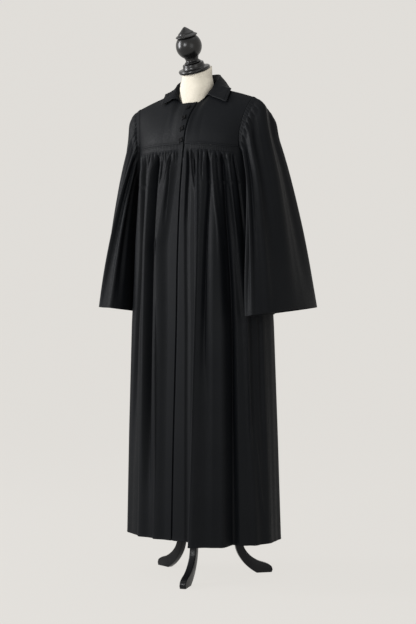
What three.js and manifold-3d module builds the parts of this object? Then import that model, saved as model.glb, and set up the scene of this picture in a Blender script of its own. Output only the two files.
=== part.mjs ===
// Clergy robe on a dress form.
// Millimetres, +Z up, wearer's left is +X, the front faces -Y.
// Cloth pieces are thin walls. Each is worked out from level sections of the robe, the seam
// lines between pieces, and a short table of folds.
import * as THREE from 'three';
import { mergeVertices } from 'three/addons/utils/BufferGeometryUtils.js';
import Module from 'manifold-3d';

const wasm = await Module();
wasm.setup();

// ---- driving dimensions ------------------------------------------------------------------------
const cloth = 2;                   // thickness of a wall of cloth with its folds of seam allowance
const seamGap = 0.3;               // clearance between two pieces that are sewn together
const layerGap = 0.4;              // clearance between a piece and the piece that it lies on

const hemHeight = 131;             // hem above the floor
const seamHeight = 1361;           // seam between the yoke and the gathered skirt
const armholeDrop = 126;           // how far the armhole scoops below the yoke seam
const armholeFront = 63.2;         // degrees round from the centre front, at the yoke seam
const armholeBack = 104;           // the same for the back edge of the armhole
const overlap = 26;                // the left front runs this far under the right front
const tuckDepth = cloth + 0.5;

const smockPitch = 10;             // one pleat of the smocked gathers below the yoke
const smockRise = 2.6;
const smockEnd = 1308;             // height at which the pleats let go
const gatherPitch = 24;            // soft folds that the pleats open into
const gatherRise = 4.5;
const gatherEnd = 1090;

const sleevePitch = 9;             // one pleat of the smocked strip at the sleeve head
const sleeveRise = 2.2;

const tilt = 25;                   // degrees that the neck cap and finial lean forward
const capHeight = 1607;            // middle of the neck's top face
const neckCentre = -44;            // the neck stands this far forward of the pole
const capForward = 10;             // the cap sits this far forward on the neck
const poleRadius = 12.5;
const torsoBottom = 800;
const hubBottom = 142;
const hubTop = 268;
const hubRadius = 27;
const legThickness = 21;
const legTurns = [15.5, 135.5, 255.5];  // degrees from the front towards the wearer's left

// Level sections of the robe: half width, depth to the front and to the back of the pole's axis,
// and how square the front and back halves are (2 is an ellipse).
const bodySections = [
  { z: 131, half: 256, front: 158, back: 170, square: 2.7, backSquare: 1.9 },
  { z: 450, half: 250, front: 157, back: 154, square: 2.6, backSquare: 1.88 },
  { z: 800, half: 241, front: 154, back: 137, square: 2.5, backSquare: 1.86 },
  { z: 1000, half: 228, front: 152, back: 123, square: 2.5, backSquare: 1.95 },
  { z: 1150, half: 219, front: 149, back: 113, square: 2.6, backSquare: 2.08 },
  { z: 1235, half: 213, front: 147, back: 107, square: 2.7, backSquare: 2.2 },
  { z: 1361, half: 213, front: 142, back: 92, square: 2.8, backSquare: 2.2 },
];

// The skirt's folds. Each has its ridge at three levels (degrees from the centre front towards
// the wearer's left), the width of its two flanks in degrees, and its rise in mm at those levels.
const foldLevels = [1290, 800, 131];
const folds = [
  { name: 'side_right', at: [-62, -72, -77], before: 9, after: 9, rise: [4, 8, 13] },
  { name: 'outer_right', at: [-38.5, -46, -50], before: 6, after: 13, rise: [6, 11, 17] },
  { name: 'inner_right', at: [-20, -28.5, -29.5], before: 5, after: 14, rise: [5, 9, 13] },
  { name: 'beside_opening', at: [11, 12, 15], before: 4, after: 5, rise: [-3, -4, -6] },
  { name: 'great_near', at: [25, 24.5, 31], before: 7, after: 22, rise: [6, 34, 80] },
  { name: 'great_dip', at: [35, 33, 40], before: 7, after: 8, rise: [-3, -9, -10] },
  { name: 'great_far', at: [41, 47, 53], before: 22, after: 8, rise: [6, 22, 42] },
  { name: 'great_shadow', at: [50, 56, 62.5], before: 5, after: 5, rise: [-4, -9, -12] },
  { name: 'narrow_left', at: [56, 61, 70], before: 4, after: 4, rise: [5, 5, 5] },
  { name: 'side_left', at: [72, 79, 83], before: 7, after: 8, rise: [2, 6, 10] },
  { name: 'back_a', at: [97, 100, 103], before: 8, after: 8, rise: [2, 4, 8] },
  { name: 'back_b', at: [117, 121, 124], before: 7, after: 10, rise: [4, 6, 10] },
  { name: 'back_c', at: [139, 142, 144], before: 9, after: 7, rise: [6, 14, 22] },
  { name: 'back_d', at: [158, 160, 162], before: 8, after: 8, rise: [5, 11, 18] },
  { name: 'back_e', at: [177, 178, 181], before: 8, after: 9, rise: [5, 13, 23] },
  { name: 'back_f', at: [198, 199, 200], before: 9, after: 7, rise: [5, 11, 17] },
  { name: 'back_g', at: [219, 219, 221], before: 8, after: 9, rise: [6, 15, 25] },
  { name: 'back_h', at: [243, 241, 240], before: 9, after: 7, rise: [4, 11, 19] },
  { name: 'back_i', at: [262, 262, 260], before: 8, after: 8, rise: [2, 5, 12] },
];

// The sleeve's soft folds, by turns round the sleeve (0 at the shoulder, then by the front).
const sleeveFolds = [
  { name: 'top', at: 0.03, width: 0.055, rise: 6, end: 1.1 },
  { name: 'front_ridge', at: 0.13, width: 0.05, rise: 7, end: 1.0 },
  { name: 'front_dip', at: 0.2, width: 0.045, rise: -6, end: 0.9 },
  { name: 'front_edge', at: 0.27, width: 0.05, rise: 6, end: 1.2 },
  { name: 'back_dip', at: 0.79, width: 0.05, rise: -5, end: 0.8 },
  { name: 'back_ridge', at: 0.87, width: 0.055, rise: 7, end: 1.1 },
];

const robeColour = 0x19191b;
const formColour = 0xddd5bf;
const stoneBlack = 0x0c0c0d;

// ---- small mathematics -------------------------------------------------------------------------
const radians = (degrees) => degrees * Math.PI / 180;
const mix = (a, b, t) => a + (b - a) * t;
const clamp = (x, low, high) => Math.min(high, Math.max(low, x));
const vec = (x, y, z) => new THREE.Vector3(x, y, z);

function ease(t) {
  const c = clamp(t, 0, 1);
  return c * c * (3 - 2 * c);
}

// Value of one column of a table at height z, with straight lines between its rows.
function atHeight(table, column, z) {
  let low = table[0];
  for (const high of table) {
    if (high.z >= z) {
      return high.z === low.z ? high[column]
        : mix(low[column], high[column], (z - low.z) / (high.z - low.z));
    }
    low = high;
  }
  return low[column];
}

// Value at height z of a quantity given at the three fold levels.
function atLevel(values, z) {
  const [top, middle, hem] = foldLevels;
  if (z >= middle) return mix(values[1], values[0], clamp((z - middle) / (top - middle), 0, 1));
  return mix(values[2], values[1], clamp((z - hem) / (middle - hem), 0, 1));
}

function smoothCurve(points, closed = false) {
  const curve = new THREE.CatmullRomCurve3(points.map((p) => vec(...p)), closed, 'centripetal');
  curve.arcLengthDivisions = 120;
  return curve;
}

// ---- the robe's level sections -----------------------------------------------------------------
// Point of the plain section at height z, turned from the centre front by an angle in degrees.
function plainBody(turn, z) {
  const s = Math.sin(radians(turn));
  const c = Math.cos(radians(turn));
  const half = atHeight(bodySections, 'half', z);
  const depth = atHeight(bodySections, c >= 0 ? 'front' : 'back', z);
  const square = atHeight(bodySections, c >= 0 ? 'square' : 'backSquare', z);
  const radius = (Math.abs(s / half) ** square + Math.abs(c / depth) ** square) ** (-1 / square);
  return vec(radius * s, -radius * c, z);
}

function plainNormal(turn, z) {
  const step = plainBody(turn + 0.5, z).sub(plainBody(turn - 0.5, z));
  return vec(-step.y, step.x, 0).normalize().negate();
}

// Sum of the folds at one place of the skirt.
function foldRise(turn, z) {
  let rise = 0;
  for (const fold of folds) {
    let away = turn - atLevel(fold.at, z);
    if (away > 180) away -= 360;
    if (away < -180) away += 360;
    const reach = Math.abs(away) / (away < 0 ? fold.before : fold.after);
    if (reach < 1) rise += atLevel(fold.rise, z) * (1 + Math.cos(Math.PI * reach)) / 2;
  }
  return rise * ease((seamHeight - z) / 90);
}

// The small gathers that open out of the smocking, as waves along the seam.
function gatherWave(turn, z) {
  if (z <= gatherEnd) return 0;
  const fade = ease((z - gatherEnd) / (smockEnd - gatherEnd)) * ease((seamHeight - z) / 40);
  const along = turn * seamHalfLength / 90;
  const wander = 5 * Math.sin(along / 31) + 3 * Math.sin(along / 13 + 1);
  return gatherRise * fade * gatheredPart(turn) * Math.cos(2 * Math.PI * (along + wander) / gatherPitch);
}

// 1 where the skirt is gathered into the yoke and 0 in the flat stretches, beside the opening
// and towards the armholes.
function gatheredPart(turn) {
  const t = ((turn + 180) % 360 + 360) % 360 - 180;
  const fromFront = Math.abs(t);
  if (fromFront > 90) return ease((fromFront - 112) / 6);
  const start = t > openingTurn(seamHeight) ? 13 : 2;
  return ease((fromFront - start) / 4) * ease((60 - fromFront) / 5);
}
const seamHalfLength = 250;        // length of the section from the centre front to the side

// Edge of the right front, which laps over the left.
function openingTurn(z) {
  return mix(-7.5, 5, clamp((z - hemHeight) / (seamHeight - hemHeight), 0, 1) ** 1.25);
}

// The left front steps in where it runs under the right front.
function tuck(turn, z) {
  const beyond = turn - openingTurn(z);
  return -(tuckDepth + 1.6) * (1 - ease(beyond / 3.2));
}

// Skirt surface: plain section, then folds and gathers along its normal.
function skirtPoint(turn, z, under = false) {
  const rise = foldRise(turn, z) + gatherWave(turn, z) + (under ? tuck(turn, z) : 0);
  return plainBody(turn, z).addScaledVector(plainNormal(turn, z), rise);
}

// Mitred normal of the skirt, level, from the points half a column to each side.
function skirtNormal(turn, z, under, step) {
  const here = skirtPoint(turn, z, under);
  const before = here.clone().sub(skirtPoint(turn - step, z, under)).normalize();
  const after = skirtPoint(turn + step, z, under).sub(here).normalize();
  const along = before.clone().add(after).normalize();
  const stretch = 1 / Math.max(0.7, along.dot(after));
  return vec(along.y, -along.x, 0).multiplyScalar(stretch);
}

// ---- walls of cloth ----------------------------------------------------------------------------
// A wall is given by rows of { u, outer, inner }, with u rising from 0 to 1 in each row. Rows may
// hold different numbers of points. A closed wall is a tube, whose last point meets its first.
function wallGeometry(rows, closed = false) {
  const positions = [];
  const triangles = [];
  const index = rows.map((row) => row.map((cell) => {
    positions.push(...cell.outer.toArray(), ...cell.inner.toArray());
    return positions.length / 3 - 2;
  }));
  const spans = rows.map((row) => (closed ? row.length : row.length - 1));
  const id = (r, i, side) => index[r][i % rows[r].length] + side;
  const where = (r, i) => (closed && i === rows[r].length ? 1 : rows[r][i].u);

  for (let r = 0; r + 1 < rows.length; r += 1) {
    let i = 0;
    let j = 0;
    while (i < spans[r] || j < spans[r + 1]) {
      const takeFirst = j >= spans[r + 1]
        || (i < spans[r] && where(r, i + 1) + where(r, i) <= where(r + 1, j + 1) + where(r + 1, j));
      const a = [r, i];
      const b = [r + 1, j];
      const c = takeFirst ? [r, i + 1] : [r + 1, j + 1];
      triangles.push(id(...a, 0), id(...b, 0), id(...c, 0));
      triangles.push(id(...a, 1), id(...c, 1), id(...b, 1));
      if (takeFirst) i += 1;
      else j += 1;
    }
  }
  for (const [r, flip] of [[0, false], [rows.length - 1, true]]) {
    for (let i = 0; i < spans[r]; i += 1) {
      const quad = [id(r, i, 0), id(r, i + 1, 0), id(r, i + 1, 1), id(r, i, 1)];
      if (flip) quad.reverse();
      triangles.push(quad[0], quad[1], quad[2], quad[0], quad[2], quad[3]);
    }
  }
  if (!closed) {
    for (const end of [0, 1]) {
      for (let r = 0; r + 1 < rows.length; r += 1) {
        const quad = [id(r, end * spans[r], 0), id(r, end * spans[r], 1),
          id(r + 1, end * spans[r + 1], 1), id(r + 1, end * spans[r + 1], 0)];
        if (end) quad.reverse();
        triangles.push(quad[0], quad[1], quad[2], quad[0], quad[2], quad[3]);
      }
    }
  }
  return facingOut(positions, triangles);
}

// Geometry whose triangles face out of the solid, whatever way round they were listed.
function facingOut(positions, triangles) {
  const p = (i) => vec(positions[3 * i], positions[3 * i + 1], positions[3 * i + 2]);
  let volume = 0;
  for (let k = 0; k < triangles.length; k += 3) {
    volume += p(triangles[k]).dot(p(triangles[k + 1]).cross(p(triangles[k + 2])));
  }
  if (volume < 0) triangles.reverse();
  const geometry = new THREE.BufferGeometry();
  geometry.setAttribute('position', new THREE.Float32BufferAttribute(positions, 3));
  geometry.setIndex(triangles);
  return geometry;
}

// Two bodies joined into one solid.
function joined(first, second) {
  const [a, b] = [first, second].map((geometry) => {
    const merged = mergeVertices(geometry);
    return new wasm.Manifold(new wasm.Mesh({
      numProp: 3,
      vertProperties: merged.attributes.position.array,
      triVerts: new Uint32Array(merged.index.array),
    }));
  });
  const { vertProperties, triVerts } = a.add(b).getMesh();
  return facingOut([...vertProperties], [...triVerts]);
}

function evenly(count) {
  return Array.from({ length: count + 1 }, (_, i) => i / count);
}

// ---- skirt -------------------------------------------------------------------------------------
// Height of each row and how many columns it has for each 90 degrees; smocked rows have a column
// on each pleat's ridge and valley instead.
const skirtRows = [
  { z: seamHeight - seamGap, smocked: true },
  { z: 1334, smocked: true },
  { z: smockEnd, smocked: true },
  { z: 1282, columns: 40 },
  { z: 1258, columns: 36 },
  { z: seamHeight - armholeDrop, columns: 34 },
  { z: 1180, columns: 32 },
  { z: 1090, columns: 28 },
  { z: 970, columns: 28 },
  { z: 830, columns: 28 },
  { z: 660, columns: 28 },
  { z: 470, columns: 28 },
  { z: 290, columns: 28 },
  { z: hemHeight, columns: 28 },
];

// Where the armhole's scoop cuts the skirt, as a fraction from its front end to its back end.
function scoopPart(z) {
  const drop = clamp((seamHeight - z) / armholeDrop, 0, 1);
  return Math.asin(drop) / Math.PI;
}

const sideTurn = mix(armholeFront, armholeBack, 0.5);
const edgeTurn = seamGap / 2 * 90 / 340;   // half a seam's clearance, as degrees

function scoopTurn(z, back) {
  const part = scoopPart(z);
  return mix(armholeFront, armholeBack, back ? 1 - part : part);
}

function skirtPanel(fromTurn, toTurn, under = false) {
  const rows = skirtRows.map(({ z, smocked, columns }) => {
    const from = fromTurn(z);
    const to = toTurn(z);
    const pleats = Math.round((to - from) * seamHalfLength / 90 / smockPitch);
    const count = smocked ? 2 * pleats : Math.round(columns * (to - from) / 90);
    return evenly(count).map((u, i) => {
      const turn = mix(from, to, u);
      const normal = skirtNormal(turn, z, under, 45 / (columns || 60));
      const plain = skirtPoint(turn, z, under);
      const ridge = smocked && i % 2 ? smockRise * gatheredPart(turn) * (z > smockEnd ? 1 : 0.6) : 0;
      const outer = plain.clone().addScaledVector(normal, ridge);
      return { u, outer, inner: plain.addScaledVector(normal, -cloth) };
    });
  });
  return wallGeometry(rows);
}

const overlapTurn = (z) => overlap * 90 / mix(400, seamHalfLength, clamp(z / seamHeight, 0, 1));

const skirtFrontRight = () => skirtPanel((z) => -scoopTurn(z, false) + edgeTurn, openingTurn);
const skirtFrontLeft = () => skirtPanel((z) => openingTurn(z) - overlapTurn(z),
  (z) => scoopTurn(z, false) - edgeTurn, true);
const skirtBack = () => skirtPanel((z) => scoopTurn(z, true) + edgeTurn,
  (z) => 360 - scoopTurn(z, true) - edgeTurn);

// ---- yoke --------------------------------------------------------------------------------------
const neckPoint = [70, -44, 1553];
const shoulderPoint = [213, -55, 1500];
const neckFront = smoothCurve([[0, -96, 1496], [26, -90, 1497], [46, -72, 1507], [62, -58, 1530],
  neckPoint]);
const neckBack = smoothCurve([[0, 10, 1574], [38, 2, 1571], [60, -18, 1565], neckPoint]);
const shoulderSeam = smoothCurve([neckPoint, [118, -49, 1532], [170, -53, 1515], shoulderPoint]);
const centreFront = smoothCurve([plainBody(0, seamHeight).toArray(), [0, -139, 1405],
  [0, -124, 1455], [0, -96, 1496]]);
const centreBack = smoothCurve([plainBody(180, seamHeight).toArray(), [0, 88, 1425], [0, 61, 1510],
  [0, 10, 1574]]);
const armholeFrontEdge = smoothCurve([plainBody(armholeFront, seamHeight).toArray(),
  [186, -96, 1392], [195, -84, 1444], [207, -67, 1483], shoulderPoint]);
const armholeBackEdge = smoothCurve([plainBody(armholeBack, seamHeight).toArray(), [194, 42, 1405],
  [203, 18, 1452], [210, -22, 1487], shoulderPoint]);

// Both yokes have their neck point at this fraction of the top edge.
const frontNeckPart = 0.42;
const backNeckPart = 0.36;

// A patch between a bottom curve, a top edge of neckline and shoulder, the centre line and the
// armhole, with s from the centre to the armhole and t from the seam to the top.
function yokePatch({ seamTurn, neck, neckPart, centre, armhole, swell }) {
  const bottom = (s) => plainBody(seamTurn(s), seamHeight);
  const top = (s) => (s < neckPart ? neck.getPointAt(s / neckPart)
    : shoulderSeam.getPointAt((s - neckPart) / (1 - neckPart)));
  return (s, t) => {
    const p = bottom(s).multiplyScalar(1 - t).addScaledVector(top(s), t);
    p.addScaledVector(centre.getPointAt(t), 1 - s).addScaledVector(armhole.getPointAt(t), s);
    p.addScaledVector(bottom(0), -(1 - s) * (1 - t)).addScaledVector(bottom(1), -s * (1 - t));
    p.addScaledVector(top(0), -(1 - s) * t).addScaledVector(top(1), -s * t);
    return p.addScaledVector(outward(p), swell * Math.sin(Math.PI * s) * Math.sin(Math.PI * t));
  };
}

// Direction out of the upper body, from a skeleton inside the chest and shoulders.
function outward(p) {
  const core = vec(clamp(p.x, -150, 150) * 0.75, -30,
    Math.min(p.z, 1400 - Math.abs(p.x) * 0.25));
  return p.clone().sub(core).normalize();
}

const frontPatch = yokePatch({
  seamTurn: (s) => s * armholeFront,
  neck: neckFront,
  neckPart: frontNeckPart,
  centre: centreFront,
  armhole: armholeFrontEdge,
  swell: 3,
});
const backPatch = yokePatch({
  seamTurn: (s) => 180 - s * (180 - armholeBack),
  neck: neckBack,
  neckPart: backNeckPart,
  centre: centreBack,
  armhole: armholeBackEdge,
  swell: 6,
});

// Yoke surface over both sides: w runs from -1 at the right armhole to 1 at the left.
function yokePoint(patch, w, t) {
  const p = patch(Math.abs(w), t);
  if (w < 0) p.x = -p.x;
  return p;
}

const yokeRows = 8;
const topInset = 1 - seamGap / 2 / 190;

function yokePanel(patch, places, shift = () => 0) {
  const rows = evenly(yokeRows).map((v) => {
    const t = v * topInset;
    const ws = places(t);
    return ws.map((w, i) => {
      const p = yokePoint(patch, w, t);
      const out = outward(p);
      const outer = p.addScaledVector(out, shift(w, t));
      return { u: i / (ws.length - 1), outer, inner: outer.clone().addScaledVector(out, -cloth) };
    });
  });
  return wallGeometry(rows);
}

// Columns from w0 to the neck point and on to the armhole.
function frontPlaces(w0, inner = 6, outer = 7) {
  const near = evenly(inner).map((u) => mix(w0, frontNeckPart, u));
  const far = evenly(outer).slice(1).map((u) => mix(frontNeckPart, 1, u));
  return [...near, ...far];
}

const openingW = (t) => mix(5 / armholeFront, 0.115, t);
const yokeTuck = (w, t) => -(tuckDepth + 0.4) * (1 - ease((w - openingW(t)) / 0.05));

const buttonW = (t) => mix(0.02, 0.036, t);      // the line that the buttons are sewn on
const yokeFrontRight = () => yokePanel(frontPatch,
  (t) => [-openingW(t), ...frontPlaces(-buttonW(t))].map((w) => -w).reverse());
const yokeFrontLeft = () => yokePanel(frontPatch, (t) => {
  const edge = openingW(t);
  return [edge - 0.17, edge - 0.02, edge + 0.02, ...frontPlaces(edge + 0.05, 4)];
}, yokeTuck);

function backPlaces() {
  const half = [...evenly(4).map((u) => u * backNeckPart),
    ...evenly(7).slice(1).map((u) => mix(backNeckPart, 1, u))];
  return [...half.slice(1).map((w) => -w).reverse(), ...half];
}
const yokeBack = () => yokePanel(backPatch, backPlaces);

// ---- sleeves (the left one; the right one is its mirror image) ---------------------------------
// Ellipse of each cuff: its middle, half axes, turn about Z in degrees, and how much higher its
// outer side and its front are than the middle.
const cuffs = {
  left: { x: 281, y: 8, z: 840, halfX: 62, halfY: 168, turn: 7, outerLift: 8, frontLift: -13 },
  right: { x: 290, y: 14, z: 851, halfX: 58, halfY: 168, turn: 0, outerLift: 8, frontLift: 6 },
};
const headPuff = { back: 21, front: 5, top: 0.07, end: 0.27 };  // how the gathers lift the head
const sleeveClear = 7;             // the sleeve's inner side stands this far off the skirt

const armholeMiddle = vec(205, -25, 1370);

// Armhole as one loop of points that lie on the vertices of the yokes' and the skirt's edges.
function armholeLoop() {
  const loop = [];
  const add = (point, yoke) => loop.push({ point, out: yoke ? outward(point) : null });
  for (const v of evenly(yokeRows).reverse()) add(armholeFrontEdge.getPointAt(v), true);
  const scoop = skirtRows.filter((row) => row.z > seamHeight - armholeDrop && row.z < seamHeight - 1);
  for (const { z } of scoop) add(skirtPoint(scoopTurn(z, false), z), false);
  add(skirtPoint(sideTurn, seamHeight - armholeDrop), false);
  for (const { z } of [...scoop].reverse()) add(skirtPoint(scoopTurn(z, true), z), false);
  for (const v of evenly(yokeRows).slice(0, -1)) add(armholeBackEdge.getPointAt(v), true);
  const turns = scoop.map((row) => scoopTurn(row.z, false));
  const lowTurns = [...turns, sideTurn, ...scoop.map((row) => scoopTurn(row.z, true)).reverse()];
  let low = 0;
  let length = 0;
  loop.forEach((cell, i) => {
    if (!cell.out) {
      cell.out = plainNormal(lowTurns[low], cell.point.z);
      low += 1;
    }
    if (i) length += cell.point.distanceTo(loop[i - 1].point);
    cell.length = length;
  });
  length += loop[0].point.distanceTo(loop[loop.length - 1].point);
  loop.forEach((cell, i) => {
    const next = loop[(i + 1) % loop.length].point;
    const before = loop[(i + loop.length - 1) % loop.length].point;
    cell.u = cell.length / length;
    cell.away = next.clone().sub(before).cross(cell.out).normalize();
    if (cell.away.dot(armholeMiddle.clone().sub(cell.point)) < 0) cell.away.negate();
  });
  return loop;
}
const armhole = armholeLoop();
const armholeLength = 620;

function onArmhole(u, key) {
  const turn = ((u % 1) + 1) % 1;
  let i = armhole.findIndex((cell) => cell.u > turn);
  if (i < 0) i = armhole.length;
  const low = armhole[i - 1];
  const high = armhole[i % armhole.length];
  const span = (i === armhole.length ? 1 : high.u) - low.u;
  return low[key].clone().lerp(high[key], (turn - low.u) / span);
}

// The loop's fraction maps to an angle round the cuff: 0 outside, then front, inside and back.
const cuffTurn = (u) => 2 * Math.PI * u;

function sleevePlain(u, t, cuff) {
  const start = onArmhole(u, 'point').addScaledVector(onArmhole(u, 'away').normalize(), seamGap);
  const angle = cuffTurn(u);
  const outside = Math.cos(angle);
  const end = vec(cuff.halfX * outside, -cuff.halfY * Math.sin(angle),
    cuff.outerLift * outside + cuff.frontLift * Math.sin(angle));
  end.applyAxisAngle(vec(0, 0, 1), -radians(cuff.turn)).add(vec(cuff.x, cuff.y, cuff.z));
  const topness = (outside + 1) / 2;
  const leave = vec(mix(45, 190, topness), 0, mix(-150, -70, topness));
  leave.addScaledVector(onArmhole(u, 'out'), 35);
  const arrive = vec(20 * outside + 20, -45 * Math.sin(angle), -420);
  const t2 = t * t;
  const t3 = t2 * t;
  const p = start.multiplyScalar(2 * t3 - 3 * t2 + 1).addScaledVector(leave, t3 - 2 * t2 + t);
  p.addScaledVector(end, 3 * t2 - 2 * t3).addScaledVector(arrive, t3 - t2);
  const puff = mix(headPuff.front, headPuff.back, (1 - Math.sin(angle)) / 2) * topness;
  const fade = ease(t / headPuff.top) * ease((headPuff.end - t) / (headPuff.end - headPuff.top));
  return clearOfSkirt(p.addScaledVector(headLift, puff * fade), t);
}
const headLift = vec(0.8, 0, 0.6);

// Moves a sleeve point outwards until it clears the skirt's side.
function clearOfSkirt(p, t) {
  if (t < 0.02) return p;
  const turn = THREE.MathUtils.radToDeg(Math.atan2(p.x, -p.y));
  const z = clamp(p.z, hemHeight, seamHeight);
  const limit = Math.hypot(...plainBody(turn, z).toArray().slice(0, 2)) + sleeveClear * ease(t / 0.1);
  const reach = Math.hypot(p.x, p.y);
  const soft = 5;
  const wanted = limit + soft * Math.log1p(Math.exp((reach - limit) / soft));
  if (p.z > seamHeight) return p;
  const grown = mix(reach, wanted, ease((seamHeight - p.z) / 60));
  return vec(p.x * grown / reach, p.y * grown / reach, p.z);
}

function sleeveNormal(u, t, cuff) {
  const across = sleevePlain(u + 0.008, t, cuff).sub(sleevePlain(u - 0.008, t, cuff));
  const along = sleevePlain(u, Math.min(1, t + 0.01), cuff)
    .sub(sleevePlain(u, Math.max(0, t - 0.01), cuff));
  const normal = across.cross(along).normalize();
  if (t > 0.001) return normal;
  const topness = (Math.cos(cuffTurn(u)) + 1) / 2;
  return normal.multiplyScalar(1 - topness).addScaledVector(onArmhole(u, 'out'), topness).normalize();
}

function sleeveRelief(u, t) {
  let rise = 0;
  for (const fold of sleeveFolds) {
    let away = Math.abs(u - fold.at);
    away = Math.min(away, 1 - away) / fold.width;
    if (away < 1 && t < fold.end) {
      const fade = ease((t - 0.04) / 0.2) * ease((fold.end - t) / 0.5);
      rise += fold.rise * fade * (1 + Math.cos(Math.PI * away)) / 2;
    }
  }
  return rise;
}

// The strip of smocking runs over the shoulder between these fractions of the armhole.
const stripFront = 0.235;
const stripBack = 0.79;
const sleeveRows = [
  { t: 0, loop: true },
  { t: 0.008, smocked: 1 },
  { t: 0.044, smocked: 1 },
  { t: 0.07, smocked: 0.5 },
  { t: 0.12, columns: 40 },
  { t: 0.2, columns: 36 },
  { t: 0.3, columns: 32 },
  { t: 0.42, columns: 28 },
  { t: 0.56, columns: 28 },
  { t: 0.7, columns: 28 },
  { t: 0.85, columns: 28 },
  { t: 1, columns: 28 },
];

function sleeveGeometry(side, cuff) {
  const rows = sleeveRows.map(({ t, loop, smocked, columns }) => {
    let places = evenly(columns || 1).slice(0, -1);
    if (loop) places = armhole.map((cell) => cell.u);
    if (smocked) {
      const pleats = Math.round((1 - stripBack + stripFront) * armholeLength / sleevePitch);
      const strip = evenly(2 * pleats).map((v) => mix(stripBack - 1, stripFront, v));
      const under = evenly(14).slice(1, -1).map((v) => mix(stripFront, stripBack, v));
      places = [...strip, ...under].map((u) => ({ u: (u + 1) % 1, ridge: 0 }));
      for (let i = 1; i < strip.length; i += 2) places[i].ridge = smocked * sleeveRise;
      places.sort((a, b) => a.u - b.u);
    } else {
      places = places.map((u) => ({ u, ridge: 0 }));
    }
    return places.map(({ u, ridge }) => {
      const normal = sleeveNormal(u, t, cuff);
      const plain = sleevePlain(u, t, cuff).addScaledVector(normal, sleeveRelief(u, t));
      const outer = plain.clone().addScaledVector(normal, ridge);
      const inner = plain.addScaledVector(normal, -cloth);
      return { u, outer: vec(side * outer.x, outer.y, outer.z),
        inner: vec(side * inner.x, inner.y, inner.z) };
    });
  });
  return wallGeometry(rows, true);
}

// ---- collar ------------------------------------------------------------------------------------
// The yokes' outer skin as sample points with their outward directions, for what lies on it or
// under it.
function yokeSamples() {
  const samples = [];
  for (const patch of [frontPatch, backPatch]) {
    for (const w of evenly(80)) {
      for (const t of evenly(28)) {
        const point = yokePoint(patch, mix(-1, 1, w), t);
        samples.push({ point, out: outward(point) });
      }
    }
  }
  return samples;
}
const samples = yokeSamples();

function nearestSample(p) {
  let best = samples[0];
  let least = Infinity;
  for (const sample of samples) {
    const distance = sample.point.distanceToSquared(p);
    if (distance < least) {
      least = distance;
      best = sample;
    }
  }
  return best;
}

// Moves a point out of the yoke until it stands off by a clearance.
function standOff(p, clearance) {
  let moved = p.clone();
  for (let pass = 0; pass < 3; pass += 1) {
    const { point, out } = nearestSample(moved);
    const height = moved.clone().sub(point).dot(out);
    if (height >= clearance) break;
    moved = moved.addScaledVector(out, clearance - height);
  }
  return moved;
}

const collarFold = smoothCurve([[0, 17, 1601], [40, 8, 1598], [66, -18, 1586], [72, -46, 1566],
  [63, -63, 1538], [48, -73, 1515]]);
const collarEdge = smoothCurve([[0, 66, 1536], [50, 58, 1536], [90, 30, 1541], [112, -14, 1541],
  [119, -46, 1533], [118, -80, 1490]]);
const collarClear = 5.2;           // clearance between the leaf and the yoke
const collarTurn = 3.4;            // half the thickness of the folded edge
const collarFrontNeck = 0.36;      // the collar's ends stand this far along the front neckline

// Foot of the stand, just inside the neckline, from the centre back to the collar's end.
function collarFoot(a) {
  const backShare = 0.47;
  const p = a < backShare ? neckBack.getPointAt(a / backShare)
    : neckFront.getPointAt(1 - (a - backShare) / (1 - backShare) * (1 - collarFrontNeck));
  const inward = vec(-p.x, neckCentre - p.y, 0).normalize();
  return p.addScaledVector(inward, cloth + layerGap + 1.5);
}

const collarColumns = 12;

function collarGeometry() {
  const halfRows = evenly(collarColumns).map((a) => {
    const crest = collarFold.getPointAt(a);
    const foot = collarFoot(a);
    const edge = standOff(collarEdge.getPointAt(a), cloth + collarClear + 1);
    const inward = vec(-crest.x, neckCentre - crest.y, 0).normalize();
    const standTop = crest.clone().addScaledVector(inward, collarTurn).add(vec(0, 0, -3));
    const leafTop = crest.clone().addScaledVector(inward, -collarTurn).add(vec(0, 0, -3));
    const leaf = [0, 0.3, 0.65].map((v) => leafTop.clone().lerp(edge, v)
      .addScaledVector(inward, -3 * Math.sin(Math.PI * v)));
    return [foot, standTop, crest, ...leaf.map((p) => standOff(p, cloth + collarClear)), edge];
  });
  const mirror = (row) => row.map((p) => vec(-p.x, p.y, p.z));
  const columns = [...halfRows.slice(1).reverse().map(mirror), ...halfRows];
  const rows = columns[0].map((_, r) => columns.map((column) => column[r]));
  return sheetGeometry(rows);
}

// Wall whose inner skin is its outer points moved in along their own mitred normals.
function sheetGeometry(rows) {
  const cells = rows.map((row, r) => row.map((p, i) => {
    const left = row[Math.max(0, i - 1)];
    const right = row[Math.min(row.length - 1, i + 1)];
    const across = right.clone().sub(left);
    const before = r > 0 ? p.clone().sub(rows[r - 1][i]).normalize() : null;
    const after = r + 1 < rows.length ? rows[r + 1][i].clone().sub(p).normalize() : null;
    const along = (before || after).clone().add(after || before).normalize();
    const stretch = 1 / Math.max(0.6, along.dot(after || before));
    const normal = across.cross(along).normalize();
    return { u: i / (row.length - 1), outer: p, normal, stretch };
  }));
  const middle = cells[cells.length - 1][Math.floor(rows[0].length / 2)];
  const sign = middle.normal.dot(vec(0, 0.6, 0.8)) < 0 ? -1 : 1;
  for (const row of cells) {
    for (const cell of row) {
      cell.inner = cell.outer.clone().addScaledVector(cell.normal, -sign * cloth * cell.stretch);
    }
  }
  return wallGeometry(cells);
}

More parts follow.
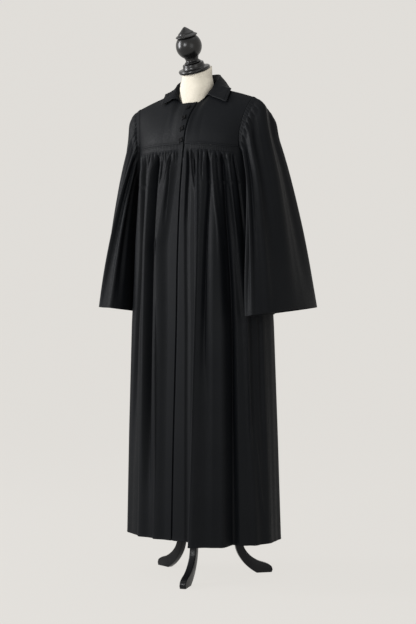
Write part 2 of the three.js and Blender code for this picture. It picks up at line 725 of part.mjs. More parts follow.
// ---- dress form --------------------------------------------------------------------------------
const torsoSections = [
  { z: 800, half: 120, front: 84, back: 84, y: 0 },
  { z: 812, half: 150, front: 102, back: 100, y: 0 },
  { z: 850, half: 166, front: 110, back: 108, y: 0 },
  { z: 950, half: 174, front: 114, back: 110, y: 0 },
  { z: 1040, half: 160, front: 110, back: 92, y: 0 },
  { z: 1130, half: 136, front: 104, back: 72, y: 0 },
  { z: 1220, half: 148, front: 118, back: 76, y: 0 },
  { z: 1310, half: 166, front: 130, back: 80, y: 0 },
  { z: 1370, half: 172, front: 128, back: 82, y: 0 },
  { z: 1420, half: 184, front: 116, back: 80, y: -4 },
  { z: 1455, half: 196, front: 92, back: 74, y: -12 },
  { z: 1480, half: 202, front: 62, back: 62, y: -26 },
  { z: 1500, half: 186, front: 28, back: 54, y: -36 },
  { z: 1518, half: 148, front: 18, back: 50, y: -40 },
  { z: 1534, half: 104, front: 10, back: 34, y: -42 },
  { z: 1546, half: 58, front: 6, back: 22, y: -46 },
];
const neckSections = [
  { z: 1440, half: 42, front: 34, back: 34, y: neckCentre },
  { z: 1512, half: 48, front: 44, back: 40, y: neckCentre },
  { z: 1545, half: 56, front: 46, back: 40, y: neckCentre },
  { z: 1564, half: 55, front: 46, back: 43, y: neckCentre },
  { z: 1580, half: 48, front: 46, back: 44, y: neckCentre },
  { z: capHeight, half: 46.5, front: 46, back: 45, y: neckCentre },
];
const formColumns = 32;

// Slack between the form and the robe: close at the shoulders, which carry it, and loose below.
const formSlack = (z) => mix(1.3, 8, ease((1500 - z) / 130));

function formPoint({ z, half, front, back, y }, turn) {
  const s = Math.sin(turn);
  const c = Math.cos(turn);
  const square = z > 1400 && z < 1550 ? 2.3 : 2.15;
  const depth = c >= 0 ? front : back;
  const radius = (Math.abs(s / half) ** square + Math.abs(c / depth) ** square) ** (-1 / square);
  const p = vec(radius * s, y - radius * c, z);
  const lean = ease((z - 1556) / (capHeight - 1556));
  p.z += lean * (p.y - neckCentre) * Math.tan(radians(tilt));
  if (z < 1380 || y === neckCentre) return p;
  for (let pass = 0; pass < 3; pass += 1) {
    const { point, out } = nearestSample(p);
    const spare = point.clone().sub(p).dot(out) - cloth - formSlack(z);
    if (spare < 0) p.addScaledVector(out, spare);
  }
  return p;
}

// A body given by level rings of points, closed by a fan at its top and bottom.
function ringsGeometry(rings) {
  const count = rings[0].length;
  const positions = rings.flat().flatMap((p) => p.toArray());
  const triangles = [];
  for (let r = 0; r + 1 < rings.length; r += 1) {
    for (let i = 0; i < count; i += 1) {
      const a = r * count + i;
      const b = r * count + (i + 1) % count;
      triangles.push(a, b, b + count, a, b + count, a + count);
    }
  }
  for (const [r, flip] of [[0, true], [rings.length - 1, false]]) {
    const centre = rings[r].reduce((sum, p) => sum.add(p), vec(0, 0, 0)).divideScalar(count);
    const hub = positions.length / 3;
    positions.push(...centre.toArray());
    for (let i = 0; i < count; i += 1) {
      const a = r * count + i;
      const b = r * count + (i + 1) % count;
      triangles.push(hub, flip ? b : a, flip ? a : b);
    }
  }
  return facingOut(positions, triangles);
}

// A form's rings have their points closer together at the sides.
const formBody = (sections) => ringsGeometry(sections.map((section) => evenly(formColumns)
  .slice(0, -1).map((v) => formPoint(section, 2 * Math.PI * v + 0.3 * Math.sin(4 * Math.PI * v)))));

const formTorso = () => joined(formBody(torsoSections), formBody(neckSections));

// Body turned about Z from a profile of [radius, height] points.
function turned(profile, segments) {
  const points = profile.map(([radius, height]) => new THREE.Vector2(radius, height));
  const geometry = new THREE.LatheGeometry(points, segments);
  geometry.rotateX(Math.PI / 2);
  return geometry;
}

// Neck cap and finial, along their own leaning axis, from the neck's top face.
const capProfile = [[0, 0.3], [46, 0.3], [49, 4], [47.5, 8], [37, 9.4], [34.8, 14], [33.4, 23],
  [31, 24.3], [0, 24.3]];
const finialProfile = [[0, 24.6], [24, 24.6], [26.8, 27.4], [23, 30.4], [19.8, 34], [22.4, 42]];
const ballRadius = 41;
const ballCentre = 78;
const finialTip = [[32, 115.5], [24, 118.5], [15, 122.5], [8.6, 129], [3.6, 138.5], [0, 142]];

function finialGeometry() {
  const from = Math.asin((42 - ballCentre) / ballRadius) + 0.12;
  const to = Math.asin((110 - ballCentre) / ballRadius);
  const ball = evenly(8).map((v) => {
    const angle = mix(from, to, v);
    return [ballRadius * Math.cos(angle), ballCentre + ballRadius * Math.sin(angle)];
  });
  return turned([...finialProfile, ...ball, ...finialTip], 20);
}

function poleGeometry() {
  const top = torsoBottom - seamGap;
  const bottom = hubTop + seamGap;
  return turned([[0, bottom], [poleRadius, bottom], [poleRadius, top], [0, top]], 20);
}

const hubProfile = [[0, hubBottom], [20, hubBottom], [25, hubBottom + 8], [hubRadius, hubBottom + 22],
  [hubRadius, hubTop - 14], [22, hubTop - 6], [18, hubTop], [0, hubTop]];

// Side view of a leg as [distance from the pole's axis, height], along its top and its underside.
const legTop = [[hubRadius + seamGap, 250], [60, 242], [96, 216], [117, 176], [122, 132],
  [124, 98], [132, 77], [150, 56], [176, 39], [204, 29], [219, 20], [223, 9]];
const legUnder = [[150, 13], [127, 35], [107, 66], [98, 98], [95, 130], [87, 160], [66, 189],
  [hubRadius + seamGap, 206]];
const toeFlat = [[219, 0], [170, 0]];

function legGeometry() {
  const plane = ([r, z]) => new THREE.Vector2(r, z);
  const top = new THREE.SplineCurve(legTop.map(plane)).getPoints(22);
  const under = new THREE.SplineCurve([toeFlat[1], ...legUnder].map(plane)).getPoints(16);
  const shape = new THREE.Shape([...top, plane(toeFlat[0]), ...under]);
  const geometry = new THREE.ExtrudeGeometry(shape,
    { depth: legThickness, bevelEnabled: false, steps: 1 });
  geometry.translate(0, 0, -legThickness / 2);
  geometry.rotateX(Math.PI / 2);
  return geometry;
}

// ---- buttons -----------------------------------------------------------------------------------
const buttonRadius = 6.5;
const buttonThickness = 3;
const buttonHeights = [1479, 1445, 1409, 1373];

function buttonGeometry() {
  const base = layerGap;
  const top = base + buttonThickness;
  return turned([[0, base], [buttonRadius - 0.5, base], [buttonRadius, top - 1],
    [buttonRadius - 1, top], [0, top - 0.4]], 12);
}

// A button sits square on the facet of the yoke that it lies on.
function placeButton(mesh, height) {
  const centres = evenly(yokeRows).map((v) => v * topInset)
    .map((t) => yokePoint(frontPatch, buttonW(t), t));
  const above = centres.findIndex((p) => p.z > height);
  const low = centres[above - 1];
  const high = centres[above];
  const slope = high.clone().sub(low);
  mesh.position.copy(low).addScaledVector(slope, (height - low.z) / slope.z);
  mesh.quaternion.setFromUnitVectors(vec(0, 0, 1), vec(0, -slope.z, slope.y).normalize());
}

// ---- assembly ----------------------------------------------------------------------------------
const robe = new THREE.Group();

function add(name, geometry, color, roughness, metalness = 0) {
  const mesh = new THREE.Mesh(geometry,
    new THREE.MeshStandardMaterial({ color, roughness, metalness }));
  mesh.name = name;
  robe.add(mesh);
  return mesh;
}

add('yoke_front_right', yokeFrontRight(), robeColour, 0.85);
add('yoke_front_left', yokeFrontLeft(), robeColour, 0.85);
add('yoke_back', yokeBack(), robeColour, 0.85);
add('skirt_front_right', skirtFrontRight(), robeColour, 0.85);
add('skirt_front_left', skirtFrontLeft(), robeColour, 0.85);
add('skirt_back', skirtBack(), robeColour, 0.85);
add('sleeve_left', sleeveGeometry(1, cuffs.left), robeColour, 0.85);
add('sleeve_right', sleeveGeometry(-1, cuffs.right), robeColour, 0.85);
add('collar', collarGeometry(), robeColour, 0.85);
buttonHeights.forEach((height, i) => {
  placeButton(add(`button_${i + 1}`, buttonGeometry(), stoneBlack, 0.35), height);
});

add('form_torso', formTorso(), formColour, 0.9);
for (const [name, geometry] of [['neck_cap', turned(capProfile, 24)], ['finial', finialGeometry()]]) {
  const mesh = add(name, geometry, stoneBlack, 0.25);
  mesh.position.set(0, neckCentre - capForward,
    capHeight - capForward * Math.tan(radians(tilt)));
  mesh.rotation.x = radians(tilt);
}
add('pole', poleGeometry(), stoneBlack, 0.3, 0.6);
add('hub', turned(hubProfile, 24), stoneBlack, 0.35);
legTurns.forEach((turn, i) => {
  const leg = add(`leg_${i + 1}`, legGeometry(), stoneBlack, 0.3);
  leg.rotation.z = radians(turn - 90);
});

// The origin is the middle of the underside of the whole.
robe.updateMatrixWorld(true);
const extent = new THREE.Box3().setFromObject(robe, true);
robe.position.set(-(extent.min.x + extent.max.x) / 2, -(extent.min.y + extent.max.y) / 2,
  -extent.min.z);

const group = new THREE.Group();
group.add(robe);

export default group;
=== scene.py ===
"""Clergy robe on a dress form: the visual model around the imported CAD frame.

Surfaces are worked out in millimetres in the garment's own frame (pole axis at X = Y = 0, +X the
wearer's left, the front at -Y). They start from the CAD's sections, seam lines and folds, add
creases and smocking, and differ on purpose at the yoke seam, the pleats' edges, the sleeve heads,
the cuffs, the collar and the cap. They become metres in the row's frame when a mesh is made.
"""
import math

import bpy
import numpy as np
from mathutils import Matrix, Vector


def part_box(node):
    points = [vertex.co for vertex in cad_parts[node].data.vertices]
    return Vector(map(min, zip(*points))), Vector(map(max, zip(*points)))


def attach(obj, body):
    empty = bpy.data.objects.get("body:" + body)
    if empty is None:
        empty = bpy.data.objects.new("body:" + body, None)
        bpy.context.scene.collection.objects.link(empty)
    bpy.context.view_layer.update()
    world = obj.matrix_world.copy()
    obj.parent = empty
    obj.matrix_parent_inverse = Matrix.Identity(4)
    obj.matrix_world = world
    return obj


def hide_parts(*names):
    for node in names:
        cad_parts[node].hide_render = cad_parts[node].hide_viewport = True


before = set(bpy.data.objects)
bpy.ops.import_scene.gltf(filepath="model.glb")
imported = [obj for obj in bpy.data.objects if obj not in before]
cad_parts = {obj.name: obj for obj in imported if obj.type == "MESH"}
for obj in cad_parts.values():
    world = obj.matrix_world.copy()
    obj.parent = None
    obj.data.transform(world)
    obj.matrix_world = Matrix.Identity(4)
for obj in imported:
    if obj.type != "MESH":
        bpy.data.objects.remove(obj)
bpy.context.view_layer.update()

pole_low, pole_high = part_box("pole")
AXIS_X = (pole_low.x + pole_high.x) / 2  # the pole's axis in the row's frame, metres
AXIS_Y = (pole_low.y + pole_high.y) / 2

# ---- camera
AZIMUTH = math.radians(33)
DISTANCE = 3.9
EYE_HEIGHT = 0.815
SIDE_STEP = 0.01024  # the camera's axis passes this far beside the pole
FOCAL_PIXELS = 1218.75
SENSOR = 36
FRAME_PIXELS = 624  # height of the photograph
HORIZON_DROP = 8  # pixels that the horizon lies below the middle

camera_data = bpy.data.cameras.new("camera")
camera_data.sensor_fit = "VERTICAL"
camera_data.sensor_width = SENSOR
camera_data.sensor_height = SENSOR
camera_data.lens = FOCAL_PIXELS * SENSOR / FRAME_PIXELS
camera_data.shift_y = HORIZON_DROP / FRAME_PIXELS
camera = bpy.data.objects.new("camera", camera_data)
bpy.context.collection.objects.link(camera)
camera.location = (DISTANCE * math.sin(AZIMUTH) + SIDE_STEP * math.cos(AZIMUTH) + AXIS_X,
                   -DISTANCE * math.cos(AZIMUTH) + SIDE_STEP * math.sin(AZIMUTH) + AXIS_Y,
                   EYE_HEIGHT)
camera.rotation_euler = (math.radians(90), 0, AZIMUTH)
bpy.context.scene.camera = camera

# ---- driving dimensions, in mm
SKIN = 1.3  # thickness of the cloth shells
SEAM_GAP = 0.3  # between pieces that are sewn together
HEM = 131
SEAM = 1361  # height of the yoke seam
ARMHOLE_DROP = 126  # how far the armhole reaches below that seam
ARMHOLE_FRONT = 63.2  # where the seam meets the armhole, in degrees round from the front
ARMHOLE_BACK = 104
OVERLAP = 26  # width of the under front's lap
SAG = 17  # how far the yoke seam drops at the left armhole
SKIRT_TUCK = 4.1  # how far the under front sinks behind the upper one
YOKE_TUCK = 2.9
CLOTH = 2  # thickness of the CAD's cloth, which the collar and the form clear
QUARTER_SEAM = 250  # about a quarter of the way round along the yoke seam
QUARTER_HEM = 340  # the same along the hem without its folds
FOLDED_HEM = 400  # and with them
YOKE_HEIGHT = 190  # about, along the cloth
YOKE_HALF = 210  # about, from the centre to the armhole
SLEEVE_ROUND = 720  # about
SLEEVE_LENGTH = 660  # about
COLLAR_HALF = 240  # about, along the fold
NECK_Y = -44
CAP_Z = 1607
TILT = math.radians(25)  # how far the cap leans forward
CAP_FORWARD = 10  # the cap sits this far forward on the neck
CAP_ASIDE = -3
CAP_LIFT = 2.4

# Plain section of the robe at rising heights: half width, depth in front and behind, and the
# exponent of its superellipse in front and behind.
SECTION_Z = [HEM, 450, 800, 1000, 1150, 1235, SEAM]
SECTION_HALF = [256, 250, 241, 228, 219, 213, 213]
SECTION_FRONT = [158, 157, 154, 152, 149, 147, 142]
SECTION_BACK = [170, 154, 137, 123, 113, 107, 92]
SECTION_SQUARE = [2.7, 2.6, 2.5, 2.5, 2.6, 2.7, 2.8]
BACK_SQUARE = [1.9, 1.88, 1.86, 1.95, 2.08, 2.2, 2.2]

# Main folds: ridge at four levels, hem first, in degrees round from the front towards the wearer's
# left; half widths of its two flanks in degrees; its rise at those levels, negative in a valley.
FOLD_Z = [HEM, 800, 1050, 1290]
FOLDS = [
    ((-67, -65, -63, -55), 5, 9, (7, 9, 10, 9)),
    ((-46, -44, -42.5, -40), 4.5, 10, (10, 15, 17, 15)),
    ((-28.5, -26, -27.5, -15), 3.8, 13, (9, 14, 16, 13)),
    ((13, 13, 11.5, 13), 4, 5, (-3, -4, -5, -5)),
    ((28.8, 28, 27.8, 27), 6, 21, (80, 36, 21, 8)),
    ((38, 36, 36, 37.5), 7, 7, (-8, -10, -10, -6)),
    ((49.2, 48.6, 46, 42), 20, 6, (43, 24, 16, 8)),
    ((55.8, 55.2, 53, 50), 5, 5, (-14, -12, -10, -6)),
    ((70, 66, 61, 56), 3.5, 6, (7, 7, 7, 6)),
    ((83, 79, 77, 73), 7, 8, (5, 3, 3, 2)),
    ((103, 100, 99, 97), 8, 8, (8, 4, 3, 2)),
    ((124, 121, 119, 117), 6, 10, (10, 7, 6, 4)),
    ((144, 142, 141, 139), 9, 6, (22, 15, 10, 6)),
    ((162, 160, 159, 158), 7, 8, (18, 12, 8, 5)),
    ((181, 178, 178, 177), 8, 7, (23, 14, 9, 5)),
    ((200, 199, 199, 198), 9, 6, (17, 12, 8, 5)),
    ((221, 219, 219, 219), 6, 9, (25, 16, 11, 6)),
    ((240, 241, 242, 243), 8, 6, (19, 12, 8, 4)),
    ((260, 262, 262, 262), 8, 8, (12, 5, 3, 2)),
]

# Soft creases of the front, each placed one by one: path as (height, degrees), half width in
# degrees and rise in mm (a trough where it is negative). A crease fades at both ends of its path.
CREASES = [
    ([(1320, -50), (1200, -51.5), (1000, -54), (700, -57), (300, -58)], 3.4, -12.0),
    ([(1330, -41), (1235, -42.4), (1055, -44), (782, -45.5), (260, -47)], 1.3, 4.2),
    ([(1325, -31.5), (1265, -33.5), (1142, -36.2), (962, -37.8), (578, -38.6), (160, -37.5)],
     4.4, -23.0),
    ([(1325, -25), (1290, -25.5), (1230, -28)], 1.5, -3.8),
    ([(1325, -14), (1292, -16), (1229, -20), (1160, -25), (1052, -28.2), (962, -29), (785, -27),
      (347, -26.5), (140, -28)], 1.25, 4.6),
    ([(1330, -12), (1250, -13.4), (1172, -16.4), (1100, -18.5)], 1.8, -6.0),
    ([(1335, 12), (1286, 12), (1190, 10.4), (1060, 9.5)], 2.2, -6.5),
    ([(1335, 16), (1298, 17), (1256, 19), (1190, 23)], 1.6, 3.8),
    ([(1335, 20.6), (1290, 21.5), (1245, 22.8)], 1.4, -4.8),
    ([(1335, 25.5), (1223, 27), (1046, 28), (785, 28.4), (437, 29), (155, 29)], 1.2, 5.0),
    ([(640, 22.5), (476, 23), (290, 23.4), (150, 23.4)], 2.4, -5.0),
    ([(1335, 31), (1290, 31), (1235, 32)], 1.4, -3.6),
    ([(1335, 36.5), (1220, 38), (1151, 36.8), (1046, 35.5), (785, 34.8), (560, 36)], 2.4, -10.5),
    ([(1330, 40.5), (1283, 41.2), (1175, 44), (1088, 46.5), (950, 48)], 1.9, 3.6),
    ([(1335, 44.6), (1270, 45.6), (1170, 48)], 1.5, -3.8),
    ([(1330, 49), (1250, 50.4), (1133, 52), (1046, 53.6), (914, 55.4), (500, 55.6), (150, 56)],
     2.1, -9.5),
    ([(1330, 54), (1262, 55.6), (1133, 58.6), (990, 62)], 1.9, 3.8),
    ([(1330, 58.5), (1241, 62.2), (1151, 64.8), (1030, 67)], 1.8, -5.0),
    ([(840, 66.2), (770, 66.5), (512, 67.5), (370, 68)], 0.9, 6.5),
    ([(850, 69.4), (600, 69.6), (330, 70.2)], 1.5, -4.6),
    ([(434, 72.2), (329, 75), (245, 77.2), (165, 82)], 1.5, 3.2),
    ([(1100, 76), (900, 77), (500, 78), (200, 80)], 3.0, -5.0),
]

# The front opening's edge: height and degrees round from the front.
OPENING = [(SEAM, 5.2), (1292, 2.6), (1226, 0.9), (1139, -0.7), (1004, -2.0), (785, -3.0),
           (584, -4.8), (350, -6.8), (HEM, -8.2)]

# Folds of the sleeves: place round the sleeve and half width as shares of a turn from the outside
# over the front, rise in mm, and where along the sleeve they have faded out.
SLEEVE_FOLDS = [
    (0.02, 0.05, 7, 1.1),
    (0.085, 0.03, -6, 0.9),
    (0.13, 0.03, 7, 1.15),
    (0.18, 0.026, -6, 1.0),
    (0.215, 0.026, 7, 1.2),
    (0.25, 0.022, -5, 1.1),
    (0.28, 0.025, 6, 1.2),
    (0.325, 0.03, -6, 1.1),
    (0.79, 0.05, -6, 0.9),
    (0.87, 0.055, 8, 1.1),
    (0.94, 0.035, -6, 1.0),
]


# ---- small mathematics
def mix(a, b, t):
    return a + (b - a) * t


def ease(t):
    c = np.clip(t, 0, 1)
    return c * c * (3 - 2 * c)


def unit(v):
    return v / np.maximum(np.linalg.norm(v, axis=-1, keepdims=True), 1e-12)


def stack(x, y, z):
    return np.stack(np.broadcast_arrays(x, y, z), axis=-1).astype(float)


def bump(away):
    """Raised cosine: 1 at 0 and 0 from 1 on."""
    reach = np.minimum(np.abs(away), 1)
    return (1 + np.cos(np.pi * reach)) / 2


def run_along(points):
    """Length of the way along a chain of points to each of them."""
    steps = np.linalg.norm(np.diff(points, axis=0), axis=1)
    return np.concatenate([[0], np.cumsum(steps)])


def round_angles(count):
    return np.arange(count) * 2 * np.pi / count


def turned(x, y, angle):
    """Place in a plane, turned about its origin."""
    return (x * math.cos(angle) - y * math.sin(angle), x * math.sin(angle) + y * math.cos(angle))


def pleats(phase, power):
    """Rounded ridges, one at each whole number, 0 half way between them."""
    return np.abs(np.cos(np.pi * phase)) ** power


def pinch(place, rows, width):
    """1 on the rows of stitches and 0 from a width off on."""
    return np.max([bump((place - row) / width) for row in rows], axis=0)


class Curve:
    """Centripetal Catmull-Rom curve through points, placed by its length from 0 to 1."""

    def __init__(self, points):
        p = np.array(points, float)
        self.count = len(p)
        self.points = np.vstack([2 * p[0] - p[1], p, 2 * p[-1] - p[-2]])
        self.params = np.linspace(0, 1, 121)
        self.lengths = run_along(self.at_param(self.params))

    def at_param(self, t):
        f = np.asarray(t, float) * (self.count - 1)
        i = np.clip(np.floor(f).astype(int), 0, self.count - 2)
        w = (f - i)[..., None]
        p0, p1, p2, p3 = (self.points[i + k] for k in range(4))
        d0, d1, d2 = (np.linalg.norm(b - a, axis=-1, keepdims=True) ** 0.5
                      for a, b in ((p0, p1), (p1, p2), (p2, p3)))
        m1 = ((p1 - p0) / d0 - (p2 - p0) / (d0 + d1) + (p2 - p1) / d1) * d1
        m2 = ((p2 - p1) / d1 - (p3 - p1) / (d1 + d2) + (p3 - p2) / d2) * d1
        square = -3 * p1 + 3 * p2 - 2 * m1 - m2
        cube = 2 * p1 - 2 * p2 + m1 + m2
        return p1 + w * (m1 + w * (square + w * cube))

    def at(self, u):
        t = np.interp(np.asarray(u, float) * self.lengths[-1], self.lengths, self.params)
        return self.at_param(t)


# ---- the robe's surfaces
def section_radius(s, c, half, front, back, square):
    """Distance from the middle of a superellipse, whose depth differs in front and behind."""
    depth = np.where(c >= 0, front, back)
    return (np.abs(s / half) ** square + np.abs(c / depth) ** square) ** (-1 / square)


def nearest_turn(degrees):
    """The same turn between -180 and 180 degrees."""
    return (degrees + 180) % 360 - 180


def plain_body(turn, z):
    """Point of the robe's plain section at a height, turned from the centre front."""
    turn, z = np.broadcast_arrays(np.asarray(turn, float), np.asarray(z, float))
    s = np.sin(np.radians(turn))
    c = np.cos(np.radians(turn))
    half, front, back, square_front, square_back = (
        np.interp(z, SECTION_Z, values)
        for values in (SECTION_HALF, SECTION_FRONT, SECTION_BACK, SECTION_SQUARE, BACK_SQUARE))
    square = np.where(c >= 0, square_front, square_back)
    radius = section_radius(s, c, half, front, back, square)
    return stack(radius * s, -radius * c, z)


def plain_normal(turn, z):
    step = plain_body(turn + 0.5, z) - plain_body(turn - 0.5, z)
    return unit(stack(step[..., 1], -step[..., 0], 0 * step[..., 0]))


def fold_rise(turn, z):
    rise = 0
    for at, before, after, rises in FOLDS:
        away = nearest_turn(turn - np.interp(z, FOLD_Z, at))
        flank = np.where(away < 0, before, after)
        rise = rise + np.interp(z, FOLD_Z, rises) * bump(away / flank)
    return rise * ease((SEAM - z) / 90)


DEGREE = 6  # a degree counts as this many mm where a curve is drawn on the skirt


def crease_line(path):
    """Heights and places of a line on the skirt, rising, on a smooth curve through its points."""
    line = Curve([(DEGREE * turn, level) for level, turn in path]).at_param(np.linspace(1, 0, 61))
    return line[:, 1], line[:, 0] / DEGREE


opening_line = crease_line(OPENING)


def opening_turn(z):
    return np.interp(z, *opening_line)


def gathered_part(turn):
    """Share of the smocking at a turn: none at the opening and at the armholes."""
    t = nearest_turn(turn)
    away = np.abs(t)
    start = np.where(t > 5, 13, 2)
    front = ease((away - start) / 4) * ease((60 - away) / 5)
    return np.where(away > 90, ease((away - 112) / 6), front)


def crease_rise(turn, z, creases):
    t = nearest_turn(turn)
    rise = 0
    for path, width, height in creases:
        levels, places = crease_line(path)
        span = levels[-1] - levels[0]
        fade = ease((z - levels[0]) / (0.45 * span)) * ease((levels[-1] + 12 - z) / 24)
        away = nearest_turn(t - np.interp(z, levels, places))
        rise = rise + height * fade * bump(away / (width * (1.25 - 0.25 * fade)))
    return rise


def back_creases():
    """Soft creases of the back, uneven in spacing, length and depth."""
    rng = np.random.default_rng(41)
    creases = []
    turn = 116.0
    sign = -1
    while turn < 244:
        low = rng.uniform(980, 1240)
        drift = rng.uniform(-2.5, 2.5)
        path = [(1350, turn), (1280, turn + 0.3 * drift), (low, turn + drift)]
        creases.append((path, rng.uniform(1.8, 3.2), sign * rng.uniform(1.8, 3.8)))
        sign = -sign
        turn += rng.uniform(2.6, 4.6)
    return creases


ALL_CREASES = CREASES + back_creases()


def tuck(turn, z):
    """Inward move of the under front, a negative rise, greatest under the lap."""
    return -SKIRT_TUCK * (1 - ease((turn - opening_turn(z)) / 3.2))


def skirt_base(turn, z, under=False):
    """Skirt with its folds and creases, without the small pleats of the smocking."""
    rise = fold_rise(turn, z) + crease_rise(turn, z, ALL_CREASES)
    if under:
        rise = rise + tuck(turn, z)
    return plain_body(turn, z) + plain_normal(turn, z) * rise[..., None]


PLEAT = 5.8  # width of one pleat of the smocking
STITCH_ROWS = [1356, 1350, 1344, 1338]


def pleat_phase(turn):
    along = turn * QUARTER_SEAM / 90
    return (along + 0.9 * np.sin(along / 23) + 0.5 * np.sin(along / 9.1)) / PLEAT


def smock_rise(turn, z):
    """Height of the smocking's pleats: tubes that the rows of stitches pinch in."""
    phase = pleat_phase(turn)
    band = 0.7 * (1 - 0.7 * pinch(z, STITCH_ROWS, 3)) * ease((z - 1322) / 12)
    notch = 4.6 * ease((1345 - z) / 12) * ease((z - 1298) / 30)
    return (pleats(phase, 0.8) * band + pleats(phase / 2, 0.55) * notch) * gathered_part(turn)


def scoop_turn(z, back):
    drop = np.clip((SEAM - z) / ARMHOLE_DROP, 0, 1)
    part = np.arcsin(drop) / np.pi
    return mix(ARMHOLE_FRONT, ARMHOLE_BACK, 1 - part if back else part)


SIDE_TURN = mix(ARMHOLE_FRONT, ARMHOLE_BACK, 0.5)
EDGE_TURN = SEAM_GAP / 2 * 90 / QUARTER_HEM

NECK_POINT = [70, -44, 1553]
SHOULDER_POINT = [213, -55, 1500]
neck_front = Curve([[0, -96, 1496], [26, -90, 1497], [46, -72, 1507], [62, -58, 1530], NECK_POINT])
neck_back = Curve([[0, 10, 1574], [38, 2, 1571], [60, -18, 1565], NECK_POINT])
shoulder_seam = Curve([NECK_POINT, [118, -49, 1532], [170, -53, 1515], SHOULDER_POINT])
centre_front = Curve([plain_body(0, SEAM), [0, -139, 1405], [0, -124, 1455], [0, -96, 1496]])
centre_back = Curve([plain_body(180, SEAM), [0, 88, 1425], [0, 61, 1510], [0, 10, 1574]])
armhole_front = Curve([plain_body(ARMHOLE_FRONT, SEAM), [186, -96, 1392], [195, -84, 1444],
                       [207, -67, 1483], SHOULDER_POINT])
armhole_back = Curve([plain_body(ARMHOLE_BACK, SEAM), [194, 42, 1405], [203, 18, 1452],
                      [210, -22, 1487], SHOULDER_POINT])
FRONT_NECK = 0.42
BACK_NECK = 0.36


def outward(p):
    core = stack(np.clip(p[..., 0], -150, 150) * 0.75, -30 + 0 * p[..., 0],
                 np.minimum(p[..., 2], 1400 - np.abs(p[..., 0]) * 0.25))
    return unit(p - core)


def yoke_patch(s, t, back=False):
    """Coons patch between the seam, the top edge, the centre line and the armhole."""
    if back:
        neck, part, centre, side, swell = neck_back, BACK_NECK, centre_back, armhole_back, 6
    else:
        neck, part, centre, side, swell = neck_front, FRONT_NECK, centre_front, armhole_front, 3

    def bottom(s):
        turn = 180 - s * (180 - ARMHOLE_BACK) if back else s * ARMHOLE_FRONT
        return plain_body(turn, SEAM)

    def top(s):
        at_neck = neck.at(np.clip(s / part, 0, 1))
        at_shoulder = shoulder_seam.at(np.clip((s - part) / (1 - part), 0, 1))
        return np.where((s < part)[..., None], at_neck, at_shoulder)

    s, t = np.broadcast_arrays(np.asarray(s, float), np.asarray(t, float))
    zero, one = np.zeros(1), np.ones(1)
    S, T = s[..., None], t[..., None]
    p = bottom(s) * (1 - T) + top(s) * T + centre.at(t) * (1 - S) + side.at(t) * S
    p = p - bottom(zero) * (1 - S) * (1 - T) - bottom(one) * S * (1 - T)
    p = p - top(zero) * (1 - S) * T - top(one) * S * T
    return p + outward(p) * (swell * np.sin(np.pi * S) * np.sin(np.pi * T))


def yoke_point(w, t, back=False):
    p = yoke_patch(np.abs(w), t, back)
    p[..., 0] = np.where(w < 0, -p[..., 0], p[..., 0])
    return p


def settle(p):
    """The yoke seam hangs lower towards the wearer's left, and the cloth around it with it."""
    aside = ease((p[:, 0] - 30) / 160) * ease((30 - p[:, 1]) / 60)
    near = ease((p[:, 2] - 1215) / 146) * ease((1480 - p[:, 2]) / 119)
    moved = p.copy()
    moved[:, 2] -= SAG * aside * near
    return moved


# ---- meshes
def add_object(name, points, faces, material, slot, replaced=(), uv=None):
    """Object from points in the garment's frame; without a slot it is thread on the cloth."""
    world = (settle(points) if slot in (None, "robe_cloth") else points) / 1000
    world[:, 0] += AXIS_X
    world[:, 1] += AXIS_Y
    mesh = bpy.data.meshes.new(name)
    mesh.from_pydata(world.tolist(), [], [tuple(int(i) for i in face) for face in faces])
    if uv is not None:
        layer = mesh.uv_layers.new(name="cloth")
        corner = np.zeros(len(mesh.loops), np.int32)
        mesh.loops.foreach_get("vertex_index", corner)
        layer.data.foreach_set("uv", np.asarray(uv, np.float32)[corner].ravel())
    mesh.polygons.foreach_set("use_smooth", [True] * len(mesh.polygons))
    mesh.materials.append(material)
    mesh.update()
    obj = bpy.data.objects.new(name, mesh)
    bpy.context.collection.objects.link(obj)
    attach(obj, "root")
    if replaced:
        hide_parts(*replaced)
    return obj


def grid_faces(rows, columns, start, flip, closed=False):
    row = start + np.arange(rows - 1)[:, None] * columns
    c = np.arange(columns if closed else columns - 1)[None, :]
    after = (c + 1) % columns
    corners = [row + c, row + after, row + columns + after, row + columns + c]
    quads = np.stack(corners, axis=-1).reshape(-1, 4)
    return quads[:, ::-1] if flip else quads


def rod_faces(rows, columns):
    """Faces of a closed body made of rings: its side and, last, both ends."""
    faces = [tuple(quad) for quad in grid_faces(rows, columns, 0, False, True).tolist()]
    faces.append(tuple(range(columns))[::-1])
    faces.append(tuple(range((rows - 1) * columns, rows * columns)))
    return faces


def shell_faces(rows, columns, closed):
    """Faces of a shell between two grids: both grids and the edges that join them."""
    size = rows * columns
    faces = [grid_faces(rows, columns, 0, False, closed),
             grid_faces(rows, columns, size, True, closed)]
    c = np.arange(columns if closed else columns - 1)
    after = (c + 1) % columns
    bottom = (rows - 1) * columns
    edges = [(c, after, True), (bottom + c, bottom + after, False)]
    if not closed:
        r = np.arange(rows - 1) * columns
        last = r + columns - 1
        edges += [(r, r + columns, False), (last, last + columns, True)]
    for a, b, flip in edges:
        quads = np.stack([a, b, b + size, a + size], axis=-1)
        faces.append(quads[:, ::-1] if flip else quads)
    return np.vstack(faces)


def volume(points, quads):
    a, b, c, d = (points[quads[:, k]] for k in range(4))
    first = np.einsum("ij,ij->i", a, np.cross(b, c))
    second = np.einsum("ij,ij->i", a, np.cross(c, d))
    return (first + second).sum()


